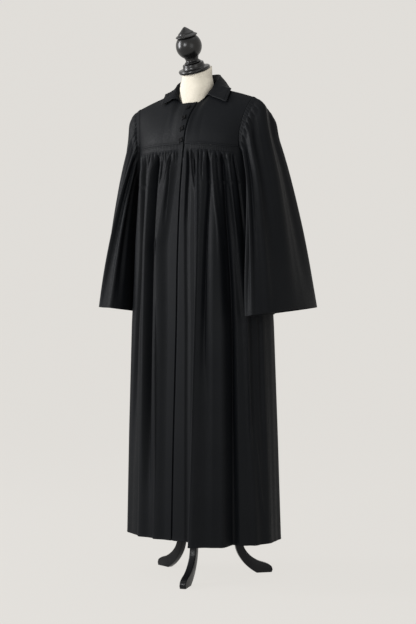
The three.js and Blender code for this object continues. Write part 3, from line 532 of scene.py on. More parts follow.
def shell(node, outer, inner, uv, closed=False):
    """Cloth of one CAD node: a closed shell between an outer and an inner grid of points."""
    rows, columns = outer.shape[:2]
    points = np.vstack([outer.reshape(-1, 3), inner.reshape(-1, 3)])
    faces = shell_faces(rows, columns, closed)
    if volume(points, faces) < 0:
        faces = faces[:, ::-1]
    both = np.vstack([uv.reshape(-1, 2)] * 2)
    return add_object(f"{node}_cloth", points, faces, wool, "robe_cloth", (node,), both)


def grid_normal(p, level=False):
    """Unit normals of a grid of points, rows first; level ones have no upward part."""
    across = np.gradient(p, axis=1)
    if level:
        return unit(stack(across[..., 1], -across[..., 0], 0 * across[..., 0]))
    along = np.gradient(p, axis=0)
    return unit(np.cross(across, along))


def tube(points, radius, sides):
    """Points and faces of a thin round tube along a chain of points."""
    p = np.asarray(points, float)
    along = unit(np.gradient(p, axis=0))
    helper = np.array([0.0, 0.0, 1.0]) if abs(along[0][2]) < 0.8 else np.array([1.0, 0.0, 0.0])
    side = unit(np.cross(along, helper))
    up = np.cross(side, along)
    angle = round_angles(sides)
    ring = (side[:, None] * np.cos(angle)[None, :, None]
            + up[:, None] * np.sin(angle)[None, :, None])
    verts = (p[:, None] + ring * radius).reshape(-1, 3)
    return verts, rod_faces(len(p), sides)


def tubes(name, chains, radius, material, sides=5):
    """One object of many separate tubes, such as the stitches of a seam."""
    verts = []
    faces = []
    base = 0
    for chain in chains:
        v, f = tube(chain, radius, sides)
        verts.append(v)
        faces += [tuple(i + base for i in face) for face in f]
        base += len(v)
    add_object(name, np.vstack(verts), faces, material, None)


# ---- materials
class Nodes:
    """Short hand for building one material's node tree."""

    def __init__(self, name):
        self.material = bpy.data.materials.new(name)
        self.material.use_nodes = True
        self.tree = self.material.node_tree
        self.shader = self.tree.nodes["Principled BSDF"]
        coords = self.add("ShaderNodeTexCoord").outputs
        self.object, self.uv = coords["Object"], coords["UV"]

    def plug(self, value, socket):
        if isinstance(value, bpy.types.NodeSocket):
            self.tree.links.new(value, socket)
        else:
            socket.default_value = value

    def add(self, kind, inputs=None, **settings):
        node = self.tree.nodes.new(kind)
        for key, value in settings.items():
            setattr(node, key, value)
        for key, value in (inputs or {}).items():
            self.plug(value, node.inputs[key])
        return node

    def set(self, **values):
        for key, value in values.items():
            self.plug(value, self.shader.inputs[key.replace("_", " ")])

    def ramp(self, factor, low, high, start, end):
        node = self.add("ShaderNodeMapRange", {"Value": factor, "From Min": start, "From Max": end,
                                               "To Min": low, "To Max": high})
        return node.outputs["Result"]

    def blend(self, factor, first, second):
        """Colour between two, each a socket or three linear values."""
        node = self.add("ShaderNodeMix", {"Factor": factor}, data_type="RGBA")
        for colour, socket in ((first, node.inputs[6]), (second, node.inputs[7])):
            self.plug((*colour, 1) if isinstance(colour, tuple) else colour, socket)
        return node.outputs[2]

    def noise(self, place, scale, detail):
        node = self.add("ShaderNodeTexNoise", {"Vector": place, "Scale": scale, "Detail": detail})
        return node.outputs["Fac"]

    def wave(self, place, direction, scale, distortion=0.0, detail=2.0, detail_scale=1.0):
        node = self.add("ShaderNodeTexWave", {"Vector": place, "Scale": scale,
                                              "Distortion": distortion, "Detail": detail,
                                              "Detail Scale": detail_scale},
                        bands_direction=direction)
        return node.outputs["Fac"]

    def relief(self, height, strength, distance):
        node = self.add("ShaderNodeBump", {"Strength": strength, "Distance": distance,
                                           "Height": height})
        return node.outputs["Normal"]


def robe_material():
    """Fine black twill with a few paler specks of lint."""
    n = Nodes("robe_wool")
    twill = n.wave(n.uv, "DIAGONAL", 240, 0.6, 1.0, 3.0)
    yarn = n.noise(n.uv, 900, 3.0)
    cloud = n.noise(n.object, 7, 4.0)
    slub = n.noise(n.object, 160, 5.0)
    weave = n.add("ShaderNodeMath", {0: twill, 1: yarn}, operation="MULTIPLY").outputs[0]
    black = n.blend(n.ramp(cloud, 0, 1, 0.3, 0.7), (0.0026, 0.0032, 0.0042),
                    (0.0036, 0.0042, 0.0052))
    n.set(Base_Color=n.blend(n.ramp(slub, 0, 0.35, 0.62, 0.8), black, (0.012, 0.0118, 0.0122)),
          Roughness=n.ramp(slub, 0.5, 0.62, 0.3, 0.7), Normal=n.relief(weave, 0.35, 0.0003),
          Specular_IOR_Level=0.08)
    return n.material


def thread_material():
    n = Nodes("robe_thread")
    twist = n.wave(n.object, "DIAGONAL", 900)
    n.set(Base_Color=n.blend(twist, (0.0012, 0.0012, 0.0015), (0.003, 0.003, 0.0035)),
          Normal=n.relief(twist, 0.4, 0.0002), Roughness=0.6, Specular_IOR_Level=0.05)
    return n.material


def gloss_material(name, low, high, roughness, grain, shine):
    """Lacquer or resin with a faint upright grain between two tones."""
    n = Nodes(name)
    stretch = (grain, grain, grain * 0.12)
    streak = n.add("ShaderNodeMapping", {"Vector": n.object, "Scale": stretch})
    noise = n.noise(streak.outputs["Vector"], 1.0, 5.0)
    n.set(Base_Color=n.blend(noise, low, high),
          Roughness=n.ramp(noise, roughness * 0.8, roughness * 1.25, 0.3, 0.7),
          Normal=n.relief(noise, 0.12, 0.0003), Specular_IOR_Level=shine)
    return n.material


def form_material():
    n = Nodes("form_jersey")
    knit = n.wave(n.object, "Z", 330, 1.2, 2.0, 2.0)
    cloud = n.noise(n.object, 14, 4.0)
    n.set(Base_Color=n.blend(n.ramp(cloud, 0, 1, 0.35, 0.65), (0.535, 0.5, 0.42),
                             (0.59, 0.55, 0.465)),
          Roughness=n.ramp(cloud, 0.78, 0.92, 0.3, 0.7), Normal=n.relief(knit, 0.3, 0.0004),
          Sheen_Weight=0.1, Sheen_Roughness=0.5)
    return n.material


wool = robe_material()
thread = thread_material()
button_stuff = gloss_material("button_resin", (0.0015, 0.0015, 0.0018), (0.003, 0.003, 0.0034),
                              0.45, 220, 0.05)
wood = gloss_material("turned_wood_black", (0.003, 0.003, 0.0032), (0.006, 0.0058, 0.0057),
                      0.27, 60, 0.4)
stand = gloss_material("stand_wood_black", (0.004, 0.0042, 0.005), (0.007, 0.0072, 0.008),
                       0.3, 40, 0.16)
pole_metal = gloss_material("pole_black", (0.005, 0.005, 0.0052), (0.01, 0.01, 0.0105), 0.3,
                            90, 0.3)
jersey = form_material()


# ---- skirt
def skirt_levels():
    """Heights of the rows: close together in the smocking and further apart below."""
    top = SEAM - SEAM_GAP
    fine = np.arange(top, 1330, -1.75)
    middle = np.arange(fine[-1] - 2.6, 1240, -2.9)
    soft = np.arange(middle[-1] - 5, 1060, -6)
    low = np.arange(soft[-1] - 11, HEM + 18, -13.5)
    hem = [HEM + 12, HEM + 6, HEM + 3, HEM + 1, HEM]
    return np.concatenate([fine, middle, soft, low, hem])


LEVELS = skirt_levels()


HEM_ROLL = 0.5  # how far the turned hem and the edges of the yokes bulge


def skirt_panel(node, from_turn, to_turn, step, under=False):
    """Skirt panel between two edges, which are given as functions of the height."""
    start = from_turn(LEVELS)
    end = to_turn(LEVELS)
    count = int(math.ceil(np.max(end - start) / step)) + 1
    u = np.linspace(0, 1, count)[None, :]
    turn = mix(start[:, None], end[:, None], u)
    z = np.broadcast_to(LEVELS[:, None], turn.shape)
    base = skirt_base(turn, z, under)
    normal = grid_normal(base, level=True)
    if np.einsum("ijk,ijk->", normal, plain_normal(turn, z)) < 0:
        normal = -normal
    hem_roll = HEM_ROLL * bump((z - HEM - 2) / 5)
    outer = base + normal * (smock_rise(turn, z) + hem_roll)[..., None]
    inner = base - normal * (SKIN + hem_roll)[..., None]
    along = turn * QUARTER_HEM / 90 / 1000
    uv = np.stack([along, z / 1000], axis=-1)
    return shell(node, outer, inner, uv)


def overlap_turn(z):
    return OVERLAP * 90 / mix(FOLDED_HEM, QUARTER_SEAM, np.clip(z / SEAM, 0, 1))


front_right = skirt_panel("skirt_front_right", lambda z: -scoop_turn(z, False) + EDGE_TURN,
                          opening_turn, 0.42)
front_left = skirt_panel("skirt_front_left", lambda z: opening_turn(z) - overlap_turn(z),
                         lambda z: scoop_turn(z, False) - EDGE_TURN, 0.42, under=True)
skirt_back = skirt_panel("skirt_back", lambda z: scoop_turn(z, True) + EDGE_TURN,
                         lambda z: 360 - scoop_turn(z, True) - EDGE_TURN, 0.62)


# ---- yokes
TOP_INSET = 1 - SEAM_GAP / 2 / YOKE_HEIGHT
YOKE_LAP = 0.17  # width of the under yoke's lap, as a share of the way to the armhole


def yoke_panel(node, first, last, columns, shift=None, back=False):
    """Yoke between two limits, given as functions of the height share t, and shifted outwards."""
    t = np.concatenate([[0, 0.004, 0.01, 0.02], np.linspace(0.04, 0.985, 52), [1]]) * TOP_INSET
    w = mix(first(t)[:, None], last(t)[:, None], np.linspace(0, 1, columns)[None, :])
    T = np.broadcast_to(t[:, None], w.shape)
    p = yoke_point(w, T, back)
    out = outward(p)
    moved = shift(w, T) if shift else 0 * w
    edge = HEM_ROLL * bump(T / 0.03)
    outer = p + out * (moved + edge)[..., None]
    inner = p + out * (moved - SKIN)[..., None]
    uv = np.stack([w * YOKE_HALF, T * YOKE_HEIGHT], axis=-1) / 1000
    return shell(node, outer, inner, uv)


def opening_w(t):
    """Edge of the upper yoke, as a share of the way to the armhole."""
    return mix(5 / ARMHOLE_FRONT, 0.115, t)


def yoke_tuck(w, t):
    return -YOKE_TUCK * (1 - ease((w - opening_w(t)) / 0.05))


yoke_right = yoke_panel("yoke_front_right", lambda t: -1 + 0 * t, opening_w, 96)
yoke_left = yoke_panel("yoke_front_left", lambda t: opening_w(t) - YOKE_LAP,
                       lambda t: 1 + 0 * t, 96, yoke_tuck)
yoke_rear = yoke_panel("yoke_back", lambda t: -1 + 0 * t, lambda t: 1 + 0 * t, 150, back=True)

# ---- sleeves
# Ellipse of each cuff: its middle, half axes, turn about Z in degrees, how much higher its outer
# side and its front are than the middle, and how far its front is squared, from 0 to 1.
CUFFS = {
    "left": dict(x=278, y=8, z=840, half_x=62, half_y=168, turn=7,
                 outer=8, front=-13, square=0),
    "right": dict(x=284, y=14, z=849, half_x=58, half_y=168, turn=0,
                  outer=8, front=6, square=0.42),
}
# How the sleeve's lines leave the armhole, at the underarm and at the shoulder, and reach the cuff.
LEAVE_OUT = (45, 190)
LEAVE_UP = (-150, -70)
LEAVE_LIFT = 35
ARRIVE_OUT, ARRIVE_BACK, ARRIVE_UP = 42, -45, -420
# The gathers lift the head of the sleeve by so many mm behind and in front. The lift is greatest at
# the share PUFF_TOP of the sleeve's length and has ended at PUFF_END.
PUFF_BACK, PUFF_FRONT, PUFF_TOP, PUFF_END = 21, 5, 0.11, 0.27
PUFF_WAY = np.array([0.8, 0, 0.6])
HEAD_DIP = 11  # how far the gathers drop just outside the shoulder
SLEEVE_CLEAR = 7
ARMHOLE_MIDDLE = np.array([205.0, -25.0, 1370.0])


def armhole_loop():
    """Points round the armhole, from the shoulder down the front and up the back, with outs."""
    front = armhole_front.at(np.linspace(1, 0, 25))
    drops = SEAM - ARMHOLE_DROP * np.sin(np.linspace(0, np.pi / 2, 17)[1:-1])
    front_low = scoop_turn(drops, False)
    back_low = scoop_turn(drops[::-1], True)
    turns = np.concatenate([front_low, [SIDE_TURN], back_low])
    heights = np.concatenate([drops, [SEAM - ARMHOLE_DROP], drops[::-1]])
    low = skirt_base(turns, heights)
    back = armhole_back.at(np.linspace(0, 1, 25)[:-1])
    points = np.vstack([front, low, back])
    outs = np.vstack([outward(front), plain_normal(turns, heights), outward(back)])
    return points, outs


loop_points, loop_outs = armhole_loop()
loop_next = np.roll(loop_points, -1, axis=0)
loop_before = np.roll(loop_points, 1, axis=0)
loop_away = unit(np.cross(loop_next - loop_before, loop_outs))
towards = np.einsum("ij,ij->i", loop_away, ARMHOLE_MIDDLE - loop_points)
loop_away = loop_away * np.where(towards < 0, -1, 1)[:, None]
loop_steps = np.linalg.norm(loop_next - loop_points, axis=1)
ARMHOLE_LENGTH = loop_steps.sum()
loop_u = np.concatenate([[0], np.cumsum(loop_steps)]) / ARMHOLE_LENGTH


def on_armhole(u, values):
    closed = np.vstack([values, values[:1]])
    turn = np.mod(u, 1)
    return np.stack([np.interp(turn, loop_u, closed[:, k]) for k in range(3)], axis=-1)


def sleeve_plain(u, t, cuff):
    """Sleeve without its folds: u is the turn from the outside over the front, t runs down it."""
    u, t = np.broadcast_arrays(np.asarray(u, float), np.asarray(t, float))
    start = on_armhole(u, loop_points) + unit(on_armhole(u, loop_away)) * SEAM_GAP
    angle = 2 * np.pi * u
    outside = np.cos(angle)
    square = 1 - cuff["square"] * ease(np.sin(angle) / 0.9)
    x = cuff["half_x"] * np.sign(outside) * np.abs(outside) ** square
    y = -cuff["half_y"] * np.sin(angle)
    x, y = turned(x, y, math.radians(-cuff["turn"]))
    end = stack(cuff["x"] + x, cuff["y"] + y,
                cuff["z"] + cuff["outer"] * outside + cuff["front"] * np.sin(angle))
    topness = (outside + 1) / 2
    leave = stack(mix(*LEAVE_OUT, topness), 0 * u, mix(*LEAVE_UP, topness))
    leave = leave + on_armhole(u, loop_outs) * LEAVE_LIFT
    arrive = stack(ARRIVE_OUT * (outside + 1), ARRIVE_BACK * np.sin(angle), ARRIVE_UP + 0 * u)
    T = t[..., None]
    T2, T3 = T * T, T * T * T
    p = start * (2 * T3 - 3 * T2 + 1) + leave * (T3 - 2 * T2 + T)
    p = p + end * (3 * T2 - 2 * T3) + arrive * (T3 - T2)
    puff = mix(PUFF_FRONT, PUFF_BACK, (1 - np.sin(angle)) / 2) * topness
    fade = ease(t / PUFF_TOP) * ease((PUFF_END - t) / (PUFF_END - PUFF_TOP))
    dip = HEAD_DIP * topness ** 3 * ease(t / 0.09) * ease((0.19 - t) / 0.1)
    p[..., 2] -= dip
    return clear_of_skirt(p + PUFF_WAY * (puff * fade)[..., None], t)


def clear_of_skirt(p, t):
    """Keep the sleeve's inner side SLEEVE_CLEAR outside the skirt's plain section."""
    turn = np.degrees(np.arctan2(p[..., 0], -p[..., 1]))
    z = np.clip(p[..., 2], HEM, SEAM)
    body = plain_body(turn, z)
    limit = np.hypot(body[..., 0], body[..., 1]) + SLEEVE_CLEAR * ease(t / 0.1)
    reach = np.hypot(p[..., 0], p[..., 1])
    wanted = limit + 5 * np.log1p(np.exp((reach - limit) / 5))
    grown = mix(reach, wanted, ease((SEAM - p[..., 2]) / 60))
    factor = np.where((t < 0.02) | (p[..., 2] > SEAM), 1, grown / reach)
    moved = p.copy()
    moved[..., :2] = p[..., :2] * factor[..., None]
    return moved


def sleeve_normal(u, t, cuff):
    across = sleeve_plain(u + 0.008, t, cuff) - sleeve_plain(u - 0.008, t, cuff)
    along = (sleeve_plain(u, np.minimum(1, t + 0.01), cuff)
             - sleeve_plain(u, np.maximum(0, t - 0.01), cuff))
    normal = unit(np.cross(across, along))
    topness = ((np.cos(2 * np.pi * u) + 1) / 2)[..., None]
    at_seam = (1 - ease(t / 0.006))[..., None] * topness
    return unit(normal * (1 - at_seam) + on_armhole(u, loop_outs) * at_seam)


def sleeve_relief(u, t):
    rise = 0
    for at, width, height, end in SLEEVE_FOLDS:
        away = np.abs(u - at)
        away = np.minimum(away, 1 - away) / width
        fade = ease((t - 0.03) / 0.15) * ease((end - t) / 0.5)
        rise = rise + height * fade * bump(away)
    return rise


STRIP_FRONT = 0.235  # where the smocked strip ends, in front and behind
STRIP_BACK = 0.79
STRIP_ROWS = (0.008, 0.02, 0.032, 0.044)
SLEEVE_PLEAT = 8.2
SLEEVE_COLUMNS = 300


def sleeve_smock(u, t):
    """Pleats of the smocked strip over the shoulder."""
    turn = np.mod(u + 0.5, 1) - 0.5
    inside = ease((STRIP_FRONT - turn) / 0.02) * ease((turn - (STRIP_BACK - 1)) / 0.02)
    phase = turn * ARMHOLE_LENGTH / SLEEVE_PLEAT + 0.12 * np.sin(turn * 61)
    fade = ease((0.07 - t) / 0.03) * (0.55 + 0.45 * ease(t / 0.01))
    notch = ease((t - 0.045) / 0.025) * ease((0.14 - t) / 0.07)
    rib = 1.3 * pleats(phase, 0.8) * fade * (1 - 0.5 * pinch(t, STRIP_ROWS, 0.005))
    lift = 5.5 - 3 * bump(turn / 0.12)
    return (rib + lift * pleats(phase / 2, 0.55) * notch) * inside


def sleeve_mesh(side, cuff, node):
    t = np.concatenate([np.linspace(0, 0.075, 31), np.linspace(0.08, 0.2, 22),
                        np.linspace(0.212, 0.975, 62), [0.985, 0.992, 0.997, 1]])
    u = np.arange(SLEEVE_COLUMNS) / SLEEVE_COLUMNS
    U, T = np.meshgrid(u, t)
    normal = sleeve_normal(U, T, cuff)
    base = sleeve_plain(U, T, cuff) + normal * sleeve_relief(U, T)[..., None]
    outer = base + normal * sleeve_smock(U, T)[..., None]
    inner = base - normal * SKIN
    flip = np.array([side, 1, 1])
    uv = np.stack([U * SLEEVE_ROUND, T * SLEEVE_LENGTH], axis=-1) / 1000
    return shell(node, outer * flip, inner * flip, uv, True)


sleeve_left = sleeve_mesh(1, CUFFS["left"], "sleeve_left")
sleeve_right = sleeve_mesh(-1, CUFFS["right"], "sleeve_right")


# ---- collar
def yoke_samples():
    w, t = np.meshgrid(np.linspace(-1, 1, 121), np.linspace(0, 1, 43))
    points = np.vstack([yoke_point(w, t, back).reshape(-1, 3) for back in (False, True)])
    return points, outward(points)


sample_points, sample_outs = yoke_samples()
BLOCK = 400  # points compared with all the samples at a time


def height_over_yoke(p):
    """Height of points over the nearest sample of the yokes, and the way out from there."""
    flat_points = p.reshape(-1, 3)
    nearest = [((flat_points[i:i + BLOCK, None] - sample_points) ** 2).sum(-1).argmin(1)
               for i in range(0, len(flat_points), BLOCK)]
    best = np.concatenate(nearest)
    out = sample_outs[best].reshape(p.shape)
    return np.einsum("...k,...k->...", p - sample_points[best].reshape(p.shape), out), out


def stand_off(p, clearance):
    """Points moved out until they clear the yokes."""
    for _ in range(3):
        height, out = height_over_yoke(p)
        p = p + out * np.maximum(0, clearance - height)[..., None]
    return p


collar_fold = Curve([[0, 17, 1601], [40, 8, 1598], [66, -18, 1586], [72, -46, 1566],
                     [63, -63, 1538], [48, -73, 1515]])
EDGE_BEHIND = [[0, 60, 1541], [46, 50, 1545], [78, 22, 1551]]
collar_edge_left = Curve(EDGE_BEHIND + [[106, -18, 1545], [128, -46, 1530], [137, -88, 1481]])
collar_edge_right = Curve(EDGE_BEHIND + [[100, -18, 1546], [114, -46, 1535], [107, -86, 1495]])
COLLAR_CLEAR = 4.2  # how far the leaf stands off the yoke
COLLAR_TURN = 2.4  # radius of the fold
COLLAR_OUT = 4  # how far the fold stands out from its line
COLLAR_SKIN = 1.7
COLLAR_FOOT = 2.7  # how far the foot lies inside the neckline
COLLAR_NECK = 0.36  # share of the front neckline that the collar leaves free


def collar_foot(a):
    """Foot of half the collar from the centre back; share is the part behind the shoulder."""
    share = 0.47
    back = neck_back.at(np.clip(a / share, 0, 1))
    front = neck_front.at(np.clip(1 - (a - share) / (1 - share) * (1 - COLLAR_NECK), 0, 1))
    p = np.where((a < share)[:, None], back, front)
    inward = unit(stack(-p[:, 0], NECK_Y - p[:, 1], 0 * p[:, 0]))
    return p + inward * COLLAR_FOOT


def collar_half(leaf_edge):
    """Outer points of half the collar from its foot over the fold to its edge, row by row."""
    a = np.linspace(0, 1, 49)
    crest = collar_fold.at(a)
    foot = collar_foot(a)
    edge = stand_off(leaf_edge.at(a), CLOTH + COLLAR_CLEAR + 1)
    inward = unit(stack(-crest[:, 0], NECK_Y - crest[:, 1], 0 * a))
    crest = crest - inward * COLLAR_OUT
    drop = np.array([0, 0, -3])
    stand_top = crest + inward * COLLAR_TURN + drop
    leaf_top = crest - inward * COLLAR_TURN + drop
    rows = [foot, mix(foot, stand_top, 0.5), stand_top]
    for way, down in ((1, 0.6), (0, 0), (-1, 0.6)):
        rows.append(crest + inward * COLLAR_TURN * 0.6 * way - np.array([0, 0, down]))
    for v in np.linspace(0, 1, 15):
        line = mix(leaf_top, edge, v) - inward * 3 * np.sin(np.pi * v)
        rows.append(stand_off(line, CLOTH + COLLAR_CLEAR + v))
    return np.stack(rows)


def collar_mesh():
    """The collar's mesh, with the outer grid and normals that its stitches follow."""
    right_half = collar_half(collar_edge_right)[:, ::-1] * np.array([-1, 1, 1])
    outer = np.concatenate([right_half[:, :-1], collar_half(collar_edge_left)], axis=1)
    normal = grid_normal(outer)
    if normal[-3, outer.shape[1] // 2].dot([0, 0.6, 0.8]) < 0:
        normal = -normal
    inner = outer - normal * COLLAR_SKIN
    columns = np.linspace(-COLLAR_HALF, COLLAR_HALF, outer.shape[1]) / 1000
    lengths = run_along(outer[:, outer.shape[1] // 2]) / 1000
    uv = np.stack(np.meshgrid(columns, lengths), axis=-1)
    return shell("collar", outer, inner, uv), outer, normal


collar, collar_outer, collar_lift = collar_mesh()


# ---- form, cap and finial
# Sections of the form: height, half width, depth in front and behind, and the middle's y.
TORSO = np.array([
    (800, 120, 84, 84, 0), (812, 150, 102, 100, 0), (850, 166, 110, 108, 0),
    (950, 174, 114, 110, 0), (1040, 160, 110, 92, 0), (1130, 136, 104, 72, 0),
    (1220, 148, 118, 76, 0), (1310, 166, 130, 80, 0), (1370, 172, 128, 82, 0),
    (1420, 184, 116, 80, -4), (1455, 196, 92, 74, -12), (1480, 202, 62, 62, -26),
    (1500, 186, 28, 54, -36), (1518, 148, 18, 50, -40), (1534, 104, 10, 34, -42),
    (1546, 58, 6, 22, -46),
], float)
NECK = np.array([
    (1440, 42, 34, 34, NECK_Y), (1512, 48, 44, 40, NECK_Y), (1545, 56, 46, 40, NECK_Y),
    (1564, 55, 46, 43, NECK_Y), (1580, 48, 46, 44, NECK_Y), (CAP_Z, 46.5, 46, 45, NECK_Y),
], float)


FORM_CLEAR = 1.3  # least room between the form and that cloth at the yokes


def form_body(name, table, rows, columns, clamp_under):
    """Body through the sections of a table, kept under the yokes if clamp_under is set."""
    z = np.linspace(table[0, 0], table[-1, 0], rows)
    half, front, back, y = (np.interp(z, table[:, 0], table[:, k])[:, None] for k in range(1, 5))
    turn = round_angles(columns)[None, :]
    s, c = np.sin(turn), np.cos(turn)
    Z = z[:, None] + 0 * turn
    square = np.where((Z > 1400) & (Z < 1550), 2.3, 2.15)
    radius = section_radius(s, c, half, front, back, square)
    p = stack(radius * s, y - radius * c, Z)
    lean = ease((Z - 1556) / (CAP_Z - 1556))
    p[..., 2] += lean * (p[..., 1] - NECK_Y) * math.tan(TILT)
    if clamp_under:
        slack = mix(FORM_CLEAR, 8, ease((1500 - Z) / 130))
        for _ in range(3):
            height, out = height_over_yoke(p)
            spare = np.minimum(0, -height - CLOTH - slack)
            p = p + out * np.where(Z < 1380, 0, spare)[..., None]
    verts = np.vstack([p.reshape(-1, 3), p[0].mean(0), p[-1].mean(0)])
    faces = rod_faces(rows, columns)[:-2]
    low, high = rows * columns, rows * columns + 1
    last = (rows - 1) * columns
    for i in range(columns):
        j = (i + 1) % columns
        faces.append((low, j, i))
        faces.append((high, last + i, last + j))
    return add_object(name, verts, faces, jersey, "form_cover")


form = form_body("form_torso_cover", TORSO, 90, 72, True)
neck = form_body("form_neck", NECK, 30, 72, False)
union = form.modifiers.new("union", "BOOLEAN")
union.operation = "UNION"
union.object = neck
bpy.context.view_layer.objects.active = form
with bpy.context.temp_override(object=form, active_object=form):
    bpy.ops.object.modifier_apply(modifier="union")
bpy.data.objects.remove(neck, do_unlink=True)
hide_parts("form_torso")


def lathe(profile, segments, place):
    """Points and faces of a body turned about its own Z axis, then moved by place()."""
    profile = np.array(profile, float)
    angle = round_angles(segments)
    radius = profile[:, 0][:, None]
    p = stack(radius * np.cos(angle), radius * np.sin(angle), profile[:, 1][:, None] + 0 * angle)
    return place(p.reshape(-1, 3)), rod_faces(len(profile), segments)


def upright(p):
    return p


def rounded(profile, radius):
    """Profile with its corners cut into small arcs."""
    out = [profile[0]]
    for a, b, c in zip(profile[:-2], profile[1:-1], profile[2:]):
        a, b, c = (np.array(p, float) for p in (a, b, c))
        to_a, to_c = a - b, c - b
        r = min(radius, np.linalg.norm(to_a) * 0.45, np.linalg.norm(to_c) * 0.45)
        first, last = b + unit(to_a) * r, b + unit(to_c) * r
        for v in (0, 0.25, 0.5, 0.75, 1):
            out.append(mix(mix(first, b, v), mix(b, last, v), v))
    out.append(profile[-1])
    return [tuple(p) for p in out]


def on_neck(p):
    """From the cap's own leaning axis to the garment's frame."""
    y, z = turned(p[:, 1], p[:, 2], TILT)
    seat = np.array([CAP_ASIDE, NECK_Y - CAP_FORWARD, CAP_Z - CAP_FORWARD * math.tan(TILT)])
    return np.stack([p[:, 0], y, z + CAP_LIFT], axis=-1) + seat


# Profiles of the turned parts are radius and height.
CAP = [(0.5, -2.6), (48.6, -2.6), (51, 4), (49.5, 8), (37, 9.4), (34.8, 14), (33.4, 23), (31, 24.3),
       (0.5, 24.3)]
BALL_RADIUS = 41
BALL_CENTRE = 78
BALL_LOW = 42
BALL_HIGH = 110


def finial_profile():
    low = math.asin((BALL_LOW - BALL_CENTRE) / BALL_RADIUS) + 0.12
    high = math.asin((BALL_HIGH - BALL_CENTRE) / BALL_RADIUS)
    angles = np.linspace(low, high, 26)
    ball = [(BALL_RADIUS * math.cos(a), BALL_CENTRE + BALL_RADIUS * math.sin(a)) for a in angles]
    foot = rounded([(0.5, 24.6), (24, 24.6), (26.8, 27.4), (23, 30.4), (19.8, 34), (22.4, BALL_LOW),
                    ball[0]], 2.0)
    tip = rounded([ball[-1], (34, 108.5), (35, 111.5), (31, 114), (25, 117.5), (24, 120.5),
                   (17, 126), (9, 133.5), (3.6, 138), (0.4, 139)], 1.6)
    return foot[:-1] + ball + tip[1:]


for node, profile in (("neck_cap", rounded(CAP, 1.6)), ("finial", finial_profile())):
    add_object(f"{node}_turned", *lathe(profile, 72, on_neck), wood, "turned_wood", (node,))

HUB = [(0.5, 142), (20, 142), (25, 150), (27, 164), (27, 254), (22, 262), (18, 268), (0.5, 268)]
add_object("hub_turned", *lathe(rounded(HUB, 3), 64, upright), stand, "stand_wood", ("hub",))
POLE = [(0.5, 268.3), (12.5, 268.3), (12.5, 799.7), (0.5, 799.7)]
add_object("pole_tube", *lathe(rounded(POLE, 0.8), 48, upright), pole_metal, "stand_pole",
           ("pole",))

LEG_TURNS = [15.5, 135.5, 255.5]
LEG_EDGES = [(2.6, -10.5), (1.2, -10.2), (0.35, -9.2), (0, -7.6), (0, 7.6), (0.35, 9.2),
             (1.2, 10.2), (2.6, 10.5)]  # inset of the outline and place across the leg
LEG_TOP = Curve([(27.3, 0, 250), (60, 0, 242), (96, 0, 216), (117, 0, 176), (122, 0, 132),
                 (124, 0, 98), (132, 0, 77), (150, 0, 56), (176, 0, 39), (204, 0, 29),
                 (219, 0, 20), (223, 0, 9)])
LEG_UNDER = Curve([(170, 0, 0), (150, 0, 13), (127, 0, 35), (107, 0, 66), (98, 0, 98),
                   (95, 0, 130), (87, 0, 160), (66, 0, 189), (27.3, 0, 206)])


def leg_mesh(index, turn):
    """Leg as rings across its thickness, with rounded edges."""
    top = LEG_TOP.at(np.linspace(0, 1, 60))
    under = LEG_UNDER.at(np.linspace(1, 0, 60))
    under[-1] = (170, 0, 0)
    toe = np.array([(221, 0, 3), (219, 0, 0)])
    outline = np.vstack([top, toe, under[::-1]])
    centre = outline.mean(0)
    after = np.roll(outline, -1, axis=0)
    before = np.roll(outline, 1, axis=0)
    along = unit(after - before)
    normal = stack(along[:, 2], 0 * along[:, 0], -along[:, 0])
    if np.einsum("ij,ij->", normal, outline - centre) < 0:
        normal = -normal
    rings = []
    for inset, depth in LEG_EDGES:
        ring = outline - normal * inset
        ring[:, 1] = depth
        ring[:, 2] = np.maximum(ring[:, 2], 0)
        rings.append(ring)
    p = np.array(rings)
    p = stack(*turned(p[..., 0], p[..., 1], math.radians(turn - 90)), p[..., 2])
    add_object(f"leg_{index}_wood", p.reshape(-1, 3), rod_faces(*p.shape[:2]), stand,
               "stand_wood", (f"leg_{index}",))


for leg_number, leg_turn in enumerate(LEG_TURNS, 1):
    leg_mesh(leg_number, leg_turn)

# ---- buttons
BUTTON_HEIGHTS = [1479, 1445, 1409, 1373]
BUTTON_LINE = (0.02, 0.036)  # shares of the way to the armhole, at the yoke's foot and top
BUTTON_PROFILE = [(0.3, 0.4), (5.6, 0.4), (6.3, 1.2), (6.5, 2.2), (6.3, 3.0), (5.6, 3.4),
                  (4.7, 3.1), (4.2, 2.7), (0.3, 2.6)]


def button_mesh(index, height):
    """A button on the upper front's edge; returns its seat and axes for its buttonhole."""
    t = np.linspace(0, 1, 9) * TOP_INSET
    centres = yoke_point(mix(*BUTTON_LINE, t), t)
    above = int(np.argmax(centres[:, 2] > height))
    low, high = centres[above - 1], centres[above]
    slope = high - low
    seat = low + slope * (height - low[2]) / slope[2]
    out = unit(np.array([0, -slope[2], slope[1]]))
    side = np.array([1.0, 0.0, 0.0])
    up = np.cross(out, side)

    def place(p):
        return seat + p[:, :1] * side + p[:, 1:2] * up + p[:, 2:] * out

    verts, faces = lathe(rounded(BUTTON_PROFILE, 0.4), 40, place)
    add_object(f"button_{index}_resin", verts, faces, button_stuff, "button", (f"button_{index}",))
    return seat, side, up, out


buttons = [button_mesh(i + 1, height) for i, height in enumerate(BUTTON_HEIGHTS)]

# ---- stitches
STITCH = 3.6  # length of one stitch
STITCH_GAP = 1.8  # and of the gap after it
STITCH_RADIUS = 0.32
STITCH_LIFT = 0.34  # how high a stitch arches over its line
BAR_RADIUS = 0.95
BAR_LIFT = 0.9  # of a buttonhole's bars over the seat of the button
BAR_REACH = [6.9, 8.4, 10.2, 11.4]  # from the button's middle


